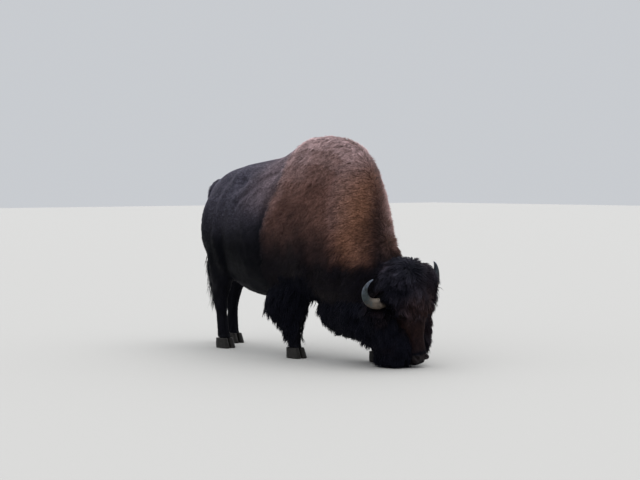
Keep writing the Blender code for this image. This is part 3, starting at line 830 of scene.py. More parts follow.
def muzzle_shape(points, normals):
    """Nostrils, lips and the groove between them."""
    down, left, front = in_head(points)
    moved = np.zeros(len(points))
    bare = np.zeros(len(points))
    for side in (-1, 1):
        x = down - NOSTRIL[0]
        y = side * left - NOSTRIL[1]
        tail = hump(np.hypot((x + 0.016) * 1.2, (y - 0.016) * 1.6), NOSTRIL_REACH * 0.62)
        pit = hump(np.hypot(x, y * 1.25), NOSTRIL_REACH * 0.62) + 0.75 * tail
        here = ease(0.0, 0.03, front)
        rim = hump(np.hypot(x + 0.004, (y - 0.004) * 1.2) - NOSTRIL_REACH * 1.15, 0.008)
        moved += here * (0.0055 * rim - NOSTRIL_DEPTH * np.minimum(pit, 1.0))
        bare = np.maximum(bare, here * ease(0.25, 0.7, pit))
    mouth = MOUTH_DOWN - 0.30 * np.maximum(0.02 - front, 0) * ease(-0.12, -0.02, front)
    lips = np.abs(down - mouth)
    along_mouth = ease(-0.105, -0.08, front)
    moved -= along_mouth * MOUTH_DEPTH * hump(lips, 0.0052)
    moved += along_mouth * 0.004 * hump(lips - 0.014, 0.009)
    pad = ease(0.535, 0.562, down + 0.12 * np.abs(left)) * ease(0.022, 0.042, front)
    moved -= 0.003 * pad * hump(left, 0.004) * ease(0.60, 0.55, down)
    bare = np.maximum(np.maximum(bare, pad), along_mouth * hump(lips, 0.012))
    return points + normals * moved[:, None], np.clip(bare, 0, 1)


EAR_ROOT = (0.165, 0.116, -0.085)  # down, side and front of the poll
EAR_TIP = (0.210, 0.295, -0.115)
EAR_CUP = 0.010  # its depth


def ear_shape(points, shares):
    """Hollows the face of each ear into a cup."""
    ear = share_of(shares, "ear")
    out = np.zeros_like(points)
    for side in (-1, 1):
        root = on_head(EAR_ROOT[0], side * EAR_ROOT[1], EAR_ROOT[2])
        tip = on_head(EAR_TIP[0], side * EAR_TIP[1], EAR_TIP[2])
        run = tip - root
        t = np.clip((points - root) @ run / (run @ run), 0, 1)
        middle = root + t[:, None] * run
        away = points - middle
        spread = np.linalg.norm(away - (away @ HEAD_FRONT)[:, None] * HEAD_FRONT, axis=1)
        mine = ear * (np.sum((points - POLL) * HEAD_LEFT, axis=1) * side > 0.1)
        cup = hump(spread, 0.022) * ease(0.15, 0.35, t) * ease(1.0, 0.85, t)
        forward = away @ HEAD_FRONT > -0.002
        out -= (EAR_CUP * mine * cup * forward)[:, None] * HEAD_FRONT
    return points + out


def lie_of(points, normals, shares):
    """The way the hair lies at each point, along the surface."""
    left = in_head(points)[1]
    x, y, z = from_hump(points)
    ahead = ease(0.22, 0.45, x)[:, None]
    level = ahead * ease(0.82, 1.02, z)[:, None]
    crown = on_head(-0.02, 0.0, 0.06)
    cheek = np.sign(left)[:, None] * HEAD_LEFT
    ways = {
        "cape": BACK * (0.62 + 0.30 * level) + FLOORWARD * (0.62 - 0.48 * level),
        "mop": unit(points - crown) * 0.8 + HEAD_DOWN * 0.75,
        "mane": HEAD_DOWN * 0.9 + BACK * 0.30 + cheek * 0.15,
        "throat": FLOORWARD * 0.8 + BACK * 0.35,
        "chaps": FLOORWARD * 0.95 + BACK * 0.25,
        "short": BACK * 0.75 + FLOORWARD * 0.60,
        "face": HEAD_DOWN * 0.9 + cheek * 0.35 - HEAD_FRONT * 0.2,
        "ear": cheek + HEAD_DOWN * 0.25,
        "nose": HEAD_DOWN * 0.6 - HEAD_FRONT * 0.5 + cheek * 0.3,
    }
    way = np.zeros_like(points)
    for i, kind in enumerate(KINDS):
        own = np.broadcast_to(ways.get(kind, FLOORWARD), points.shape)
        way += shares[:, i : i + 1] * unit(own)
    swirl = np.cross(normals, way) * (0.30 * patchy(points, 0.13, 11))[:, None]
    parted = 0.02 * np.sign(y)[:, None] * HEAD_LEFT
    return across(way + swirl + parted, normals)


def painted_lock_shadows(points):
    """Painted shadows: narrow bands that cross the neck, rising forward, where one layer of locks
    ends over the next.
    """
    x, y, z = from_hump(points)
    spread = np.column_stack((x / 3.2 + z / 12, y / 3.2, z - 0.30 * x))
    return ease(0.25, 0.75, patchy(spread, 0.034, 31))


def painted_neck_shade(points, neck, crest):
    """How far painted shade darkens the neck's wool: in the crest's fold, in the shoulder's fold,
    under the ends of its layers of locks and in a band on the right of the neck's front.
    """
    x, y, z = from_hump(points)
    # Painted shade in the crest's fold, deeper lower down.
    dim = (0.36 + 0.50 * ease(1.35, 1.08, z)) * crest
    # Painted shade in the fold between shoulder and neck.
    shoulder = hump(x - 0.29 - 0.10 * (1.0 - z), 0.050) * ease(1.20, 1.00, z)
    dim += 0.55 * shoulder + 0.90 * neck * painted_lock_shadows(points) * ease(1.24, 1.02, z)
    # Painted shade in a band on the right of the neck's front.
    beside = hump(x - 0.53, 0.06) * hump(y + 0.13, 0.06)
    dim += 0.34 * beside * ease(1.42, 1.34, z) * ease(0.98, 1.06, z)
    return np.clip(dim, 0, 0.85)


def pale_with_painted_light(points, normals, shares, wool, behind, cloud):
    """How pale the hair is painted: some bleaching by sun and weather, with painted highlight,
    sheen and shade from the sky's light.
    """
    x, y, z = from_hump(points)
    up = normals[:, 2]
    short = share_of(shares, *SHORT_KINDS)
    # Painted highlight where sky light falls on the hump's top and its rim behind, with some
    # bleaching of the tips, and painted rim light on the left half of the neck's front.
    skyward = ease(0.22 * ease(-0.12, 0.04, x), 1.0, up) * ease(1.22, 1.64, z)
    forward = neck_front(points) * ease(0.00, 0.06, y + CREST_SLOPE * (CREST_TOP - z))
    forward *= ease(0.84, 1.00, z)
    pale = wool * (0.92 * skyward + 0.60 * forward + 0.05 * cloud)
    # Painted sheen of sky light on the back and flanks, held back by painted shade in the crease
    # behind the cape.
    painted_sheen = 0.70 * ease(0.86, 1.30, z) + 0.85 * ease(0.05, 0.80, up) * ease(1.15, 1.45, z)
    painted_sheen += 0.05 * ease(0.75, 0.55, z)
    crease = hump(behind + 0.050, 0.060) * ease(1.50, 1.32, z)
    pale += short * painted_sheen * (0.80 + 0.40 * cloud) * (1 - 0.60 * crease)
    # The cape's rear edge and the sides of the neck.
    pale += 0.16 * wool * (1 - short) * hump(behind - 0.03, 0.05) * ease(0.90, 1.05, z)
    side = hump(x - 0.38, 0.075) * ease(1.70, 1.58, z) * ease(0.98, 1.14, z)
    pale += wool * side * (0.11 + 0.09 * ease(1.22, 1.38, z))
    # Single locks of the long hair, with painted sky highlight on the upper side of the mop.
    locks = ease(-0.1, 0.6, patchy(points * np.array((1.0, 1.0, 0.5)), 0.024, 27))
    pale += (0.05 + 0.14 * locks) * share_of(shares, "mop") * ease(-0.4, 0.6, up)
    pale += 0.035 * locks * share_of(shares, "mane", "throat")
    return np.clip(pale, 0, 1)


def browned(points, shares):
    """How brown the dark hair of the head is, most on the brow and face."""
    down, _, ahead = in_head(points)
    brow = share_of(shares, "mop") * ease(0.0, 0.12, down) * ease(0.02, 0.10, ahead)
    patches = ease(-0.3, 0.6, patchy(points, 0.10, 25)) * share_of(shares, "mop", "face", "mane")
    return 0.055 * patches + 0.060 * share_of(shares, "face") + 0.080 * brow


def markings_and_painted_light(points, normals, shares):
    """Where the coat is woolly brown, golden and short, with painted shade in the neck's folds,
    and how pale it is painted.
    """
    x, _, z = from_hump(points)
    short = share_of(shares, *SHORT_KINDS)
    wobble = 0.05 * patchy(points, 0.16, 21) + 0.03 * patchy(points, 0.06, 22)
    cloud = 0.5 + 0.5 * patchy(points, 0.20, 23)
    above = z - np.interp(x, *LOW_EDGE) + wobble
    wool = share_of(shares, "cape") * ease(-1.0, 1.0, above / np.interp(x, *LOW_SOFTNESS))
    behind = cape_edge(points) + 0.6 * wobble
    wool += 0.30 * short * ease(-0.55, -0.10, behind) * ease(1.05, 1.40, z)
    crest = crest_fold(points)
    neck = ease(0.30, 0.41, x + 0.10 * (z - 1.2) + 0.4 * wobble) * ease(1.62, 1.35, z)
    # Painted shade: the gold fades in the crest's fold.
    gold = wool * np.maximum(neck * (0.65 + 0.35 * cloud), 0.25 * cloud) * (1 - 0.9 * crest)
    # Painted shade in the neck's folds takes the wool down towards the dark coat's colour.
    wool = wool * (1 - painted_neck_shade(points, neck, crest))
    pale = pale_with_painted_light(points, normals, shares, wool, behind, cloud)
    return np.column_stack((wool, gold + browned(points, shares), short)), pale


EDGE_TRIM = 0.45  # the wool's length at the cape's rear edge against the usual
EYE_TRIM = 0.75  # how much shallower the coat is round the eyes


class BISON_OT_make_skin(bpy.types.Operator):
    """Draws one skin inside the frame's flesh, with lids, nostrils, lips and muscle"""

    bl_idname = "bison.make_skin"
    bl_label = "Make Skin"

    def execute(self, context):
        settings = context.scene.bison_skin
        corners, faces, face_kinds = outline_mesh()
        tree = BVHTree.FromPolygons(corners.tolist(), faces)
        mesh = bpy.data.meshes.new("skin")
        mesh.from_pydata(corners.tolist(), [], faces)
        skin = in_even_cells(linked("skin", mesh), settings.cell)
        refined(skin, fine_places, 3)
        mesh = skin.data
        net = Net(mesh)
        points = net.fair(points_of(mesh), settings.fairing)
        nearest = np.array([face_kinds[tree.find_nearest(p)[2]] for p in points.tolist()])
        crisp, blurred = kind_shares(points, nearest, net)
        set_points(mesh, points)
        cape = share_of(blurred, "cape")
        rise = settings.relief * share_of(blurred, "short") * body_relief(points, normals_of(mesh))
        rise -= cape * (CREST_DEPTH * crest_fold(points))
        trim = EDGE_TRIM + (1 - EDGE_TRIM) * ease(-0.03, 0.20, cape_edge(points))
        trim = 1 + cape * (trim - 1)
        depth = column(blurred, "depth") * context.scene.bison_coat.length * trim
        depth *= 1 - EYE_TRIM * ease(0.085, 0.045, to_nearest_eye(points))
        points = net.fair(points + normals_of(mesh) * (rise - depth)[:, None], 3)
        set_points(mesh, points)
        normals = normals_of(mesh)
        bare = np.zeros(len(points))
        for side in (-1, 1):
            points, lids = lid_shape(points, side)
            bare = np.maximum(bare, lids)
        points, nose = muzzle_shape(points, normals)
        bare = np.maximum(bare, nose)
        points = ear_shape(points, blurred)
        set_points(mesh, points)
        normals = normals_of(mesh)
        marks, pale = markings_and_painted_light(points, normals, crisp)
        self.store(mesh, marks, pale, bare, 1 - share_of(crisp, "short", "cape"))
        smooth_shaded(mesh)
        self.unwrap(context, skin)
        mesh.materials.append(skin_material(colours_of(context)))
        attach(skin, "root")
        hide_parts(*FLESH_NODES)
        WORK.update(points=points, normals=normals, shares=crisp, trim=trim)
        WORK.update(marks=marks, pale=pale, bare=bare, **triangles_of(mesh))
        WORK.update(lie=net.spread(lie_of(points, normals, blurred), 3))
        return {"FINISHED"}

    def store(self, mesh, marks, pale, bare, hanging):
        """Leaves the marks with the skin, which carries the painted shade of hair near its root.
        """
        flat = np.zeros(len(pale))
        set_vectors(mesh, "coat_marks_and_shade", marks)
        set_vectors(mesh, "coat_strand", np.column_stack((flat + 0.35, flat + 0.5, pale * 0.5)))
        set_vectors(mesh, "skin_marks", np.column_stack((bare, hanging, flat)))

    def unwrap(self, context, skin):
        """Lays the skin's own shape out flat."""
        context.view_layer.objects.active = skin
        skin.select_set(True)
        bpy.ops.object.mode_set(mode="EDIT")
        bpy.ops.mesh.select_all(action="SELECT")
        bpy.ops.uv.smart_project(angle_limit=math.radians(66), island_margin=0.003)
        bpy.ops.object.mode_set(mode="OBJECT")
        skin.select_set(False)
        skin.data.uv_layers[0].name = "OFBake"


def triangles_of(mesh):
    """The mesh's triangles: their vertices, their places in the unwrap and their areas."""
    mesh.calc_loop_triangles()
    found = mesh.loop_triangles
    unwrap = read_out(mesh.uv_layers["OFBake"].data, "uv", 2)
    return {
        "triangles": read_out(found, "vertices", 3, np.int32),
        "flat": unwrap[read_out(found, "loops", 3, np.int32)],
        "areas": read_out(found, "area", 1)[:, 0],
    }


# ---------------------------------------------------------------- tufts

PATCH = 0.003  # a tuft's size on the unwrap
MOST_TRIANGLES = 190000  # in one piece of the coat
LEAST_SHARE = 0.15  # where a kind has less of the coat, none of it is planted
ABOVE_FLOOR = 0.004  # no hair hangs lower
CLUMPS = 22000  # roots to a clump, for each square metre of its spacing squared
STRAY = 0.24  # radians that a lock may stray from the lie
FLATNESS = 0.42  # thickness of a tuft against its width
LENGTHS = (0.72, 1.22)  # shortest and longest lock of a kind against the usual
CURLS = (0.5, 1.5)
WIDTHS = (0.6, 1.3)


class Roots(NamedTuple):
    """Where tufts leave the skin, one row for each."""

    place: np.ndarray
    normal: np.ndarray
    lie: np.ndarray
    marks: np.ndarray
    pale: np.ndarray
    trim: np.ndarray
    flat: np.ndarray


def plant(kind, count, rng):
    """Spreads roots evenly over the skin that bears this kind of hair."""
    corners = WORK["triangles"]
    share = WORK["shares"][:, KINDS.index(kind)][corners].mean(1)
    free = 1 - WORK["bare"][corners].max(1)
    weight = WORK["areas"] * np.where(share > LEAST_SHARE, share, 0) * (free > 0.6)
    reached = np.cumsum(weight)
    picks = (np.arange(count) + rng.random(count)) / count * reached[-1]
    chosen = np.minimum(np.searchsorted(reached, picks), len(reached) - 1)
    a, b = rng.random((2, count))
    over = a + b > 1
    a[over], b[over] = 1 - a[over], 1 - b[over]
    mix = np.column_stack((1 - a - b, a, b))

    def there(values):
        return np.einsum("nc,nc...->n...", mix, values[corners[chosen]])

    return Roots(
        there(WORK["points"]),
        unit(there(WORK["normals"])),
        unit(there(WORK["lie"])),
        there(WORK["marks"]),
        there(WORK["pale"]),
        there(WORK["trim"]),
        np.einsum("nc,ncd->nd", mix, WORK["flat"][chosen]),
    )


def strands(place, normal, lie, length, coat, curl, rng):
    """The middle lines of locks, as (lock, ring, xyz)."""
    count = len(place)
    steps = np.linspace(0, 1, coat.rings + 1)
    lift = np.radians(coat.lift * (0.65 + 0.7 * rng.random(count)))[:, None]
    beside = np.cross(normal, lie)
    turned = rng.normal(0, STRAY, count)[:, None]
    way = unit(lie * np.cos(turned) + beside * np.sin(turned))
    start = way * np.cos(lift) + normal * np.sin(lift)
    laid = unit(way + 0.04 * normal)
    hung = unit(way * 0.35 + FLOORWARD + 0.12 * normal)
    end = laid * (1 - coat.droop) + hung * coat.droop
    swing = np.cross(normal, way)
    phase = rng.random(count) * 2 * math.pi
    lines = np.empty((count, coat.rings + 1, 3))
    lines[:, 0] = place
    for i in range(1, coat.rings + 1):
        t = (i - 0.5) / coat.rings
        run = unit(start * (1 - t) + end * t)
        lines[:, i] = lines[:, i - 1] + run * (length / coat.rings)[:, None]
    for i, t in enumerate(steps):
        turn = phase + 2 * math.pi * coat.turns * t
        size = curl * t
        lines[:, i] += (size * np.cos(turn))[:, None] * swing
        lines[:, i] += (0.6 * size * np.sin(turn))[:, None] * normal
    return lines


def gathered(lines, roots, coat, rng):
    """Draws the tips of neighbouring locks together into clumps."""
    wanted = max(len(roots.place) // max(int(coat.spacing**2 * CLUMPS), 2), 8)
    middles = rng.choice(len(roots.place), size=min(wanted, len(roots.place)), replace=False)
    tree = KDTree(len(middles))
    for i, spot in enumerate(roots.place[middles].tolist()):
        tree.insert(spot, i)
    tree.balance()
    nearest = np.array([tree.find(spot)[1] for spot in roots.place.tolist()])
    guides = lines[middles][nearest]
    pull = coat.clump * np.linspace(0, 1, coat.rings + 1) ** 1.4
    same_way = np.sum(roots.normal * roots.normal[middles][nearest], axis=1) > 0.5
    pull = pull[None, :, None] * same_way[:, None, None]
    return lines + pull * (guides - lines)


def tuft_faces(rings):
    """The corners of one tuft's faces in a row, and where each face starts in it."""
    last, tip = 3 * (rings - 1), 3 * rings
    faces = [
        (3 * r + c, 3 * r + (c + 1) % 3, 3 * r + 3 + (c + 1) % 3, 3 * r + 3 + c)
        for r in range(rings - 1)
        for c in range(3)
    ]
    faces += [(last + c, last + (c + 1) % 3, tip) for c in range(3)] + [(2, 1, 0)]
    sizes = [len(face) for face in faces]
    return np.concatenate(faces), np.concatenate(((0,), np.cumsum(sizes)[:-1]))


def tuft_mesh(name, lines, normals, widths, roots, shade, soft):
    """A closed lock round each line: three-sided, flat, drawn out to a point."""
    count, stops = lines.shape[:2]
    rings = stops - 1
    run = unit(np.gradient(lines, axis=1))
    side = unit(np.cross(np.broadcast_to(normals[:, None], run.shape), run))
    rise = np.cross(run, side)
    profile = np.array((0.85, 1.0) if rings == 2 else (1.0, 1.0, 0.9, 0.7, 0.45)[:rings])
    half = 0.5 * widths[:, None] * profile[None, :]
    corners, outs = [], []
    for turn in (90, 210, 330):
        c, s = math.cos(math.radians(turn)), math.sin(math.radians(turn))
        out = side[:, :rings] * c + FLATNESS * rise[:, :rings] * s
        corners.append(lines[:, :rings] + half[..., None] * out)
        outs.append(side[:, :rings] * c + rise[:, :rings] * s)
    body = np.stack(corners, axis=2).reshape(count, rings * 3, 3)
    points = np.concatenate((body, lines[:, rings:]), axis=1)
    outs = np.stack(outs, axis=2).reshape(count, rings * 3, 3)
    outs = np.concatenate((outs, rise[:, rings:]), axis=1)
    shading = unit(soft * normals[:, None] + (1 - soft) * outs)
    each = rings * 3 + 1
    pattern, starts = tuft_faces(rings)
    loops = (np.arange(count)[:, None] * each + pattern[None]).ravel()
    begins = (np.arange(count)[:, None] * len(pattern) + starts[None]).ravel()
    mesh = bpy.data.meshes.new(name)
    mesh.vertices.add(count * each)
    write_in(mesh.vertices, "co", points)
    mesh.loops.add(len(loops))
    write_in(mesh.loops, "vertex_index", loops, np.int32)
    mesh.polygons.add(len(begins))
    write_in(mesh.polygons, "loop_start", begins, np.int32)
    smooth_shaded(mesh)
    along = np.append(np.repeat(np.arange(rings) / rings, 3), 1.0)
    beside = np.append(np.tile((0.0, -1.0, 1.0), rings), 0.0)
    spots = roots.flat[:, None, :] + 0.5 * PATCH * np.stack(
        np.broadcast_arrays(beside[None], 2 * along[None] - 1), axis=-1
    )
    layer = mesh.uv_layers.new(name="OFBake")
    write_in(layer.data, "uv", spots.reshape(-1, 2)[loops])
    mesh.update()
    strand = np.empty((count, each, 3))
    strand[..., 0] = along[None]
    strand[..., 1] = shade[:, None]
    strand[..., 2] = roots.pale[:, None] * (0.25 + 0.75 * along[None])
    marks = np.repeat(roots.marks[:, None], each, axis=1)
    set_vectors(mesh, "coat_marks_and_shade", marks.reshape(-1, 3))
    set_vectors(mesh, "coat_strand", strand.reshape(-1, 3))
    mesh.normals_split_custom_set_from_vertices(shading.reshape(-1, 3).tolist())
    return mesh


def triangles_each(rings):
    return 6 * (rings - 1) + 4


def cover(context, kind, seed, parts=None):
    """Grows one kind of hair. parts gives each piece's name, the frame's node that it stands
    for and a test of the roots' places; without it the coat is cut along the body as often
    as needed."""
    rng = np.random.default_rng(seed)
    coat = COATS[kind]
    settings = context.scene.bison_coat
    count = int(coat.tufts * settings.density)
    roots = plant(kind, count, rng)
    lengths = settings.length * coat.length * rng.uniform(*LENGTHS, count) * roots.trim
    lengths *= 1 + 0.20 * patchy(roots.place, 0.045, seed)
    curl = settings.curl * coat.curl * rng.uniform(*CURLS, count)
    lines = strands(roots.place, roots.normal, roots.lie, lengths, coat, curl, rng)
    lines = gathered(lines, roots, coat, rng)
    lines[..., 2] = np.maximum(lines[..., 2], ABOVE_FLOOR)
    widths = coat.width * rng.uniform(*WIDTHS, count)
    way = unit(roots.lie.mean(0))
    streaks = roots.place - 0.65 * (roots.place @ way)[:, None] * way
    tone = 0.5 + 0.38 * patchy(streaks, 0.022, seed + 1) + rng.normal(0, 0.11, count)
    tone += 0.18 * patchy(roots.place, 0.09, seed + 2)
    shade = np.clip(tone, 0, 1)
    if parts is None:
        pieces = 1 + count * triangles_each(coat.rings) // MOST_TRIANGLES
        order = np.argsort(roots.place[:, 0], kind="stable")
        cuts = enumerate(np.array_split(order, pieces))
        groups = [(f"{kind}_{i + 1}", None, rows) for i, rows in cuts]
    else:
        groups = [(name, node, np.flatnonzero(test(roots.place))) for name, node, test in parts]
    material = coat_material(colours_of(context), KIND_GLOSS.get(kind, "dark"))
    for name, node, rows in groups:
        own = Roots(*(values[rows] for values in roots))
        mesh = tuft_mesh(name, lines[rows], own.normal, widths[rows], own, shade[rows], coat.soft)
        mesh.materials.append(material)
        piece = linked(name, mesh)
        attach(piece, "root")
        if node:
            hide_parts(node)


def anywhere(places):
    return np.ones(len(places), bool)


def halves(name, node, leftward):
    """The left and right piece of a paired mass of hair."""
    return (
        (name + "_left", node + "_left", lambda places: leftward(places) > 0),
        (name + "_right", node + "_right", lambda places: leftward(places) < 0),
    )


class BISON_OT_make_cape(bpy.types.Operator):
    """Covers hump, shoulders and neck with curly wool"""

    bl_idname = "bison.make_cape"
    bl_label = "Make Cape"

    def execute(self, context):
        cover(context, "cape", 101)
        return {"FINISHED"}


class BISON_OT_make_short_coat(bpy.types.Operator):
    """Lays short flat hair over barrel, rump and legs"""

    bl_idname = "bison.make_short_coat"
    bl_label = "Make Short Coat"

    def execute(self, context):
        cover(context, "short", 201)
        cover(context, "shank", 202)
        return {"FINISHED"}


class BISON_OT_make_head_hair(bpy.types.Operator):
    """Grows the mop, cheek manes, beard and the hair of face and ears"""

    bl_idname = "bison.make_head_hair"
    bl_label = "Make Head Hair"

    def execute(self, context):
        cheeks = halves("cheek_hair", "cheek_mane", lambda places: in_head(places)[1])
        cover(context, "mop", 301, (("mop_hair", "mop", anywhere),))
        cover(context, "mane", 302, cheeks)
        cover(context, "beard", 303, (("beard_hair", "beard", anywhere),))
        for kind, seed in (("face", 304), ("ear", 305), ("nose", 306)):
            cover(context, kind, seed)
        return {"FINISHED"}


class BISON_OT_make_long_hair(bpy.types.Operator):
    """Grows the throat mane, the chaps of the forelegs and the tail's tuft"""

    bl_idname = "bison.make_long_hair"
    bl_label = "Make Long Hair"

    def execute(self, context):
        chaps = halves("chaps_hair", "chaps", lambda places: from_hump(places)[1])
        cover(context, "throat", 401, (("throat_hair", "throat_mane", anywhere),))
        cover(context, "chaps", 402, chaps)
        cover(context, "foreleg", 403)
        cover(context, "tail", 404)
        cover(context, "tuft", 405, (("tail_tuft_hair", "tail_tuft", anywhere),))
        return {"FINISHED"}


# ---------------------------------------------------------------- eyes, horns, hooves

SIDES = ((-1, "right"), (1, "left"))


class BISON_OT_make_eyes(bpy.types.Operator):
    """Makes both eyeballs, with the pupil turned outward"""

    bl_idname = "bison.make_eyes"
    bl_label = "Make Eyes"

    def execute(self, context):
        material = eye_material(colours_of(context))
        for side, name in SIDES:
            bm = bmesh.new()
            bmesh.ops.create_uvsphere(bm, u_segments=40, v_segments=32, radius=EYE_RADIUS)
            mesh = mesh_of(bm, "eyeball_" + name)
            local = points_of(mesh)
            off_axis = np.arccos(np.clip(unit(local)[:, 2], -1, 1)) / math.pi
            set_vectors(mesh, "eye_marks", np.column_stack((off_axis,) * 3))
            set_points(mesh, local * (1 + 0.07 * hump(off_axis, 0.16))[:, None])
            out = Vector(unit(side * HEAD_LEFT + 0.45 * HEAD_FRONT))
            turn = out.to_track_quat("Z", "Y").to_matrix().to_4x4()
            mesh.transform(Matrix.Translation(eye_middle(side)) @ turn)
            smooth_shaded(mesh)
            mesh.materials.append(material)
            stand_for(linked(mesh.name, mesh), "eye_" + name)
        return {"FINISHED"}


HORN_DOWN = 0.090  # root below the poll
HORN_SIDE = 0.110
HORN_FRONT = -0.030
HORN_THICK = 0.042  # radius at the root
HORN_STRAIGHT = 0.166
HORN_BEND = 0.102  # radius of the arc
HORN_SWEEP = math.radians(154)
HORN_BACK = 0.050  # how far the outermost point lies behind the root
HORN_AHEAD = 0.050  # how far the bend brings the tip forward again
HORN_TIP = 0.004
HORN_STRAIGHT_SHARE = 0.30  # of the horn's length
HORN_RINGS = 120  # of faces along the horn
HORN_AROUND = 32
GROWTH_RINGS = 21
GROWTH_RING_RISE = 0.022  # against the radius
KNOB_RISE = 0.0014


def horn_line(side, share):
    """A point of the horn's middle line and its radius there, 0 at the root, 1 at the tip."""
    if share < HORN_STRAIGHT_SHARE:
        ahead = turn = 0.0
        out = HORN_STRAIGHT * (share / HORN_STRAIGHT_SHARE)
        thick = HORN_THICK
    else:
        part = (share - HORN_STRAIGHT_SHARE) / (1 - HORN_STRAIGHT_SHARE)
        ahead = HORN_AHEAD * part
        turn = part * HORN_SWEEP
        out = HORN_STRAIGHT + HORN_BEND * math.sin(turn)
        thick = HORN_TIP + (HORN_THICK - HORN_TIP) * (1 - part**1.25)
    up = HORN_BEND * (1 - math.cos(turn))
    front = HORN_FRONT + ahead - HORN_BACK * math.sin(turn)
    centre = on_head(HORN_DOWN - up, side * (HORN_SIDE + out), front)
    return centre, thick


class BISON_OT_make_horns(bpy.types.Operator):
    """Makes both horns with growth rings at the root and smooth tips"""

    bl_idname = "bison.make_horns"
    bl_label = "Make Horns"

    def execute(self, context):
        material = horn_material(colours_of(context))
        for side, name in SIDES:
            mesh = self.horn_mesh(side, "horn_shape_" + name)
            mesh.materials.append(material)
            stand_for(linked(mesh.name, mesh), "horn_" + name)
        return {"FINISHED"}

    def horn_mesh(self, side, name):
        rows = [horn_line(side, i / HORN_RINGS) for i in range(HORN_RINGS + 1)]
        line = np.array([row[0] for row in rows])
        share = np.linspace(0, 1, HORN_RINGS + 1)
        run = unit(np.gradient(line, axis=0))
        over = unit(np.cross(run, np.broadcast_to(HEAD_FRONT, run.shape)))
        front = np.cross(over, run)
        waves = np.sin(share * 2 * math.pi * GROWTH_RINGS + 1.5 * np.sin(share * 17))
        thick = np.array([row[1] for row in rows])
        thick = thick * (1 + GROWTH_RING_RISE * waves * ease(0.75, 0.25, share))
        turns = np.linspace(0, 2 * math.pi, HORN_AROUND, endpoint=False)
        c, s = np.cos(turns)[None, :, None], np.sin(turns)[None, :, None]
        spin = c * over[:, None] + s * front[:, None]
        shell = (line[:, None] + spin * thick[:, None, None]).reshape(-1, 3)
        all_shares = np.repeat(share, HORN_AROUND)
        knobs = KNOB_RISE * patchy(shell, 0.012, 31) * ease(0.8, 0.2, all_shares)
        shell += knobs[:, None] * unit(shell - np.repeat(line, HORN_AROUND, axis=0))
        points = np.vstack((shell, line[:1], line[-1:] + run[-1:] * HORN_TIP * 0.8))
        mesh = bpy.data.meshes.new(name)
        mesh.from_pydata(points.tolist(), [], self.horn_faces(len(shell)))
        bm = bmesh.new()
        bm.from_mesh(mesh)
        bmesh.ops.recalc_face_normals(bm, faces=bm.faces)
        bm.to_mesh(mesh)
        bm.free()
        along = np.append(all_shares, (0.0, 1.0))
        circle = np.append(np.tile(np.abs(turns / math.pi - 1), HORN_RINGS + 1), (0.0, 0.0))
        set_vectors(mesh, "horn_marks", np.column_stack((along, circle, circle)))
        smooth_shaded(mesh)
        return mesh

    def horn_faces(self, root):
        """Faces round the shell, and fans that close it at the root and the tip."""
        tip, last = root + 1, HORN_RINGS * HORN_AROUND
        faces = []
        for start in range(0, last, HORN_AROUND):
            for k in range(HORN_AROUND):
                a, b = start + k, start + (k + 1) % HORN_AROUND
                faces.append((a, b, b + HORN_AROUND, a + HORN_AROUND))
        for k in range(HORN_AROUND):
            faces.append((root, (k + 1) % HORN_AROUND, k))
            faces.append((tip, last + k, last + (k + 1) % HORN_AROUND))
        return faces


HOOF_CELL = 0.0042
HOOF_RING_SPACING = 0.011
HOOF_RING_RISE = 0.0007
SOLE = 0.003  # what lies lower than this is flat on the floor


class BISON_OT_make_hooves(bpy.types.Operator):
    """Rounds the eight claws off into cloven hooves"""

    bl_idname = "bison.make_hooves"
    bl_label = "Make Hooves"

    def execute(self, context):
        material = hoof_material(colours_of(context))
        for node in sorted(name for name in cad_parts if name.startswith("claw_")):
            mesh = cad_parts[node].data.copy()
            mesh.materials.clear()
            hoof = in_even_cells(linked(node.replace("claw", "hoof"), mesh), HOOF_CELL)
            mesh = hoof.data
            smooth = Net(mesh).fair(points_of(mesh), 4)
            rings = HOOF_RING_RISE * np.sin(smooth[:, 2] * 2 * math.pi / HOOF_RING_SPACING)
            set_points(mesh, smooth)
            smooth = smooth + normals_of(mesh) * rings[:, None]
            smooth[:, 2] = np.where(smooth[:, 2] < SOLE, 0.0, smooth[:, 2])
            set_points(mesh, smooth)
            smooth_shaded(mesh)
            mesh.materials.append(material)
            stand_for(hoof, node)
        return {"FINISHED"}


# ---------------------------------------------------------------- stage

CAMERA_FROM_HUMP = (9.126, -7.795, 1.427)
CAMERA_TURN = math.radians(50.0)  # round the animal, from its right side towards its head
CAMERA_DIP = math.radians(2.27)
SENSOR_WIDTH = 36.0
FLOOR_SIZE = 60.0
KEY_AIM = (-0.25, -0.20, -1.0)
KEY_COLOUR = (1.0, 0.97, 0.95)
KEY_SOFTNESS = math.radians(50)


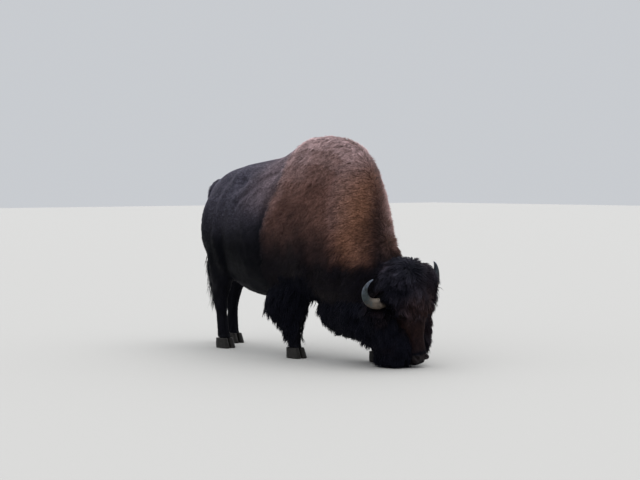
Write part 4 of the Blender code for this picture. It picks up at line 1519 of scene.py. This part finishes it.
class BISON_OT_make_stage(bpy.types.Operator):
    """Sets up a pale floor, soft lights and the camera"""

    bl_idname = "bison.make_stage"
    bl_label = "Make Stage"

    def execute(self, context):
        settings = context.scene.bison_stage
        context.scene.view_settings.view_transform = "Standard"
        self.floor(settings)
        self.surround(context, settings)
        self.key(settings)
        self.camera(context, settings)
        return {"FINISHED"}

    def floor(self, settings):
        bm = bmesh.new()
        bmesh.ops.create_grid(bm, x_segments=1, y_segments=1, size=FLOOR_SIZE)
        mesh = mesh_of(bm, "studio_floor")
        material, tree, surface = new_material("studio_floor")
        feed(tree, surface, Base_Color=opaque(settings.floor), Roughness=0.85)
        mesh.materials.append(material)
        linked("studio_floor", mesh)

    def surround(self, context, settings):
        """A dome as on a cloudy day, pale all round and brightest overhead."""
        world = bpy.data.worlds.new("studio")
        world.use_nodes = True
        tree = world.node_tree
        sky = tree.nodes["Background"]
        facing = add_node(tree, "TexCoord").outputs["Generated"]
        height = add_node(tree, "SeparateXYZ", None, n0=facing).outputs[2]
        above = ranged(tree, height, 0.12, 0.90, 0.0, 1.0)
        zenith = [settings.sky_light * part for part in settings.zenith]
        feed(tree, sky, n0=blended(tree, above, settings.horizon, zenith))
        context.scene.world = world

    def key(self, settings):
        data = bpy.data.lights.new("key", "SUN")
        data.angle = KEY_SOFTNESS
        data.energy = settings.key_power
        data.color = KEY_COLOUR
        lamp = linked("key", data)
        lamp.rotation_euler = Vector(KEY_AIM).to_track_quat("-Z", "Y").to_euler()

    def camera(self, context, settings):
        data = bpy.data.cameras.new("camera")
        data.lens = settings.lens
        data.sensor_width = SENSOR_WIDTH
        camera = linked("camera", data)
        camera.location = Vector(HUMP) + Vector(CAMERA_FROM_HUMP)
        camera.rotation_euler = (math.radians(90) - CAMERA_DIP, 0, CAMERA_TURN)
        context.scene.camera = camera


# ---------------------------------------------------------------- panel and registration


class BISON_PT_panel(bpy.types.Panel):
    bl_label = "American Bison"
    bl_idname = "BISON_PT_panel"
    bl_space_type = "VIEW_3D"
    bl_region_type = "UI"
    bl_category = "Bison"

    def draw(self, context):
        layout = self.layout
        for settings in SETTINGS:
            group = getattr(context.scene, settings)
            box = layout.box()
            for name in group.__annotations__:
                box.prop(group, name)
        for operator in OPERATORS:
            layout.operator(operator.bl_idname)


SETTINGS = {
    "bison_skin": BisonSkinSettings,
    "bison_coat": BisonCoatSettings,
    "bison_colours": BisonColourSettings,
    "bison_stage": BisonStageSettings,
}
OPERATORS = (
    BISON_OT_make_skin,
    BISON_OT_make_cape,
    BISON_OT_make_short_coat,
    BISON_OT_make_head_hair,
    BISON_OT_make_long_hair,
    BISON_OT_make_eyes,
    BISON_OT_make_horns,
    BISON_OT_make_hooves,
    BISON_OT_make_stage,
)


def register():
    for cls in (*SETTINGS.values(), *OPERATORS, BISON_PT_panel):
        bpy.utils.register_class(cls)
    for name, cls in SETTINGS.items():
        setattr(bpy.types.Scene, name, PointerProperty(type=cls))


def unregister():
    for name in SETTINGS:
        delattr(bpy.types.Scene, name)
    for cls in (BISON_PT_panel, *reversed(OPERATORS), *reversed(SETTINGS.values())):
        bpy.utils.unregister_class(cls)


def main():
    register()
    bpy.ops.bison.make_skin()
    bpy.ops.bison.make_cape()
    bpy.ops.bison.make_short_coat()
    bpy.ops.bison.make_head_hair()
    bpy.ops.bison.make_long_hair()
    bpy.ops.bison.make_eyes()
    bpy.ops.bison.make_horns()
    bpy.ops.bison.make_hooves()
    bpy.ops.bison.make_stage()


if __name__ == "__main__":
    main()
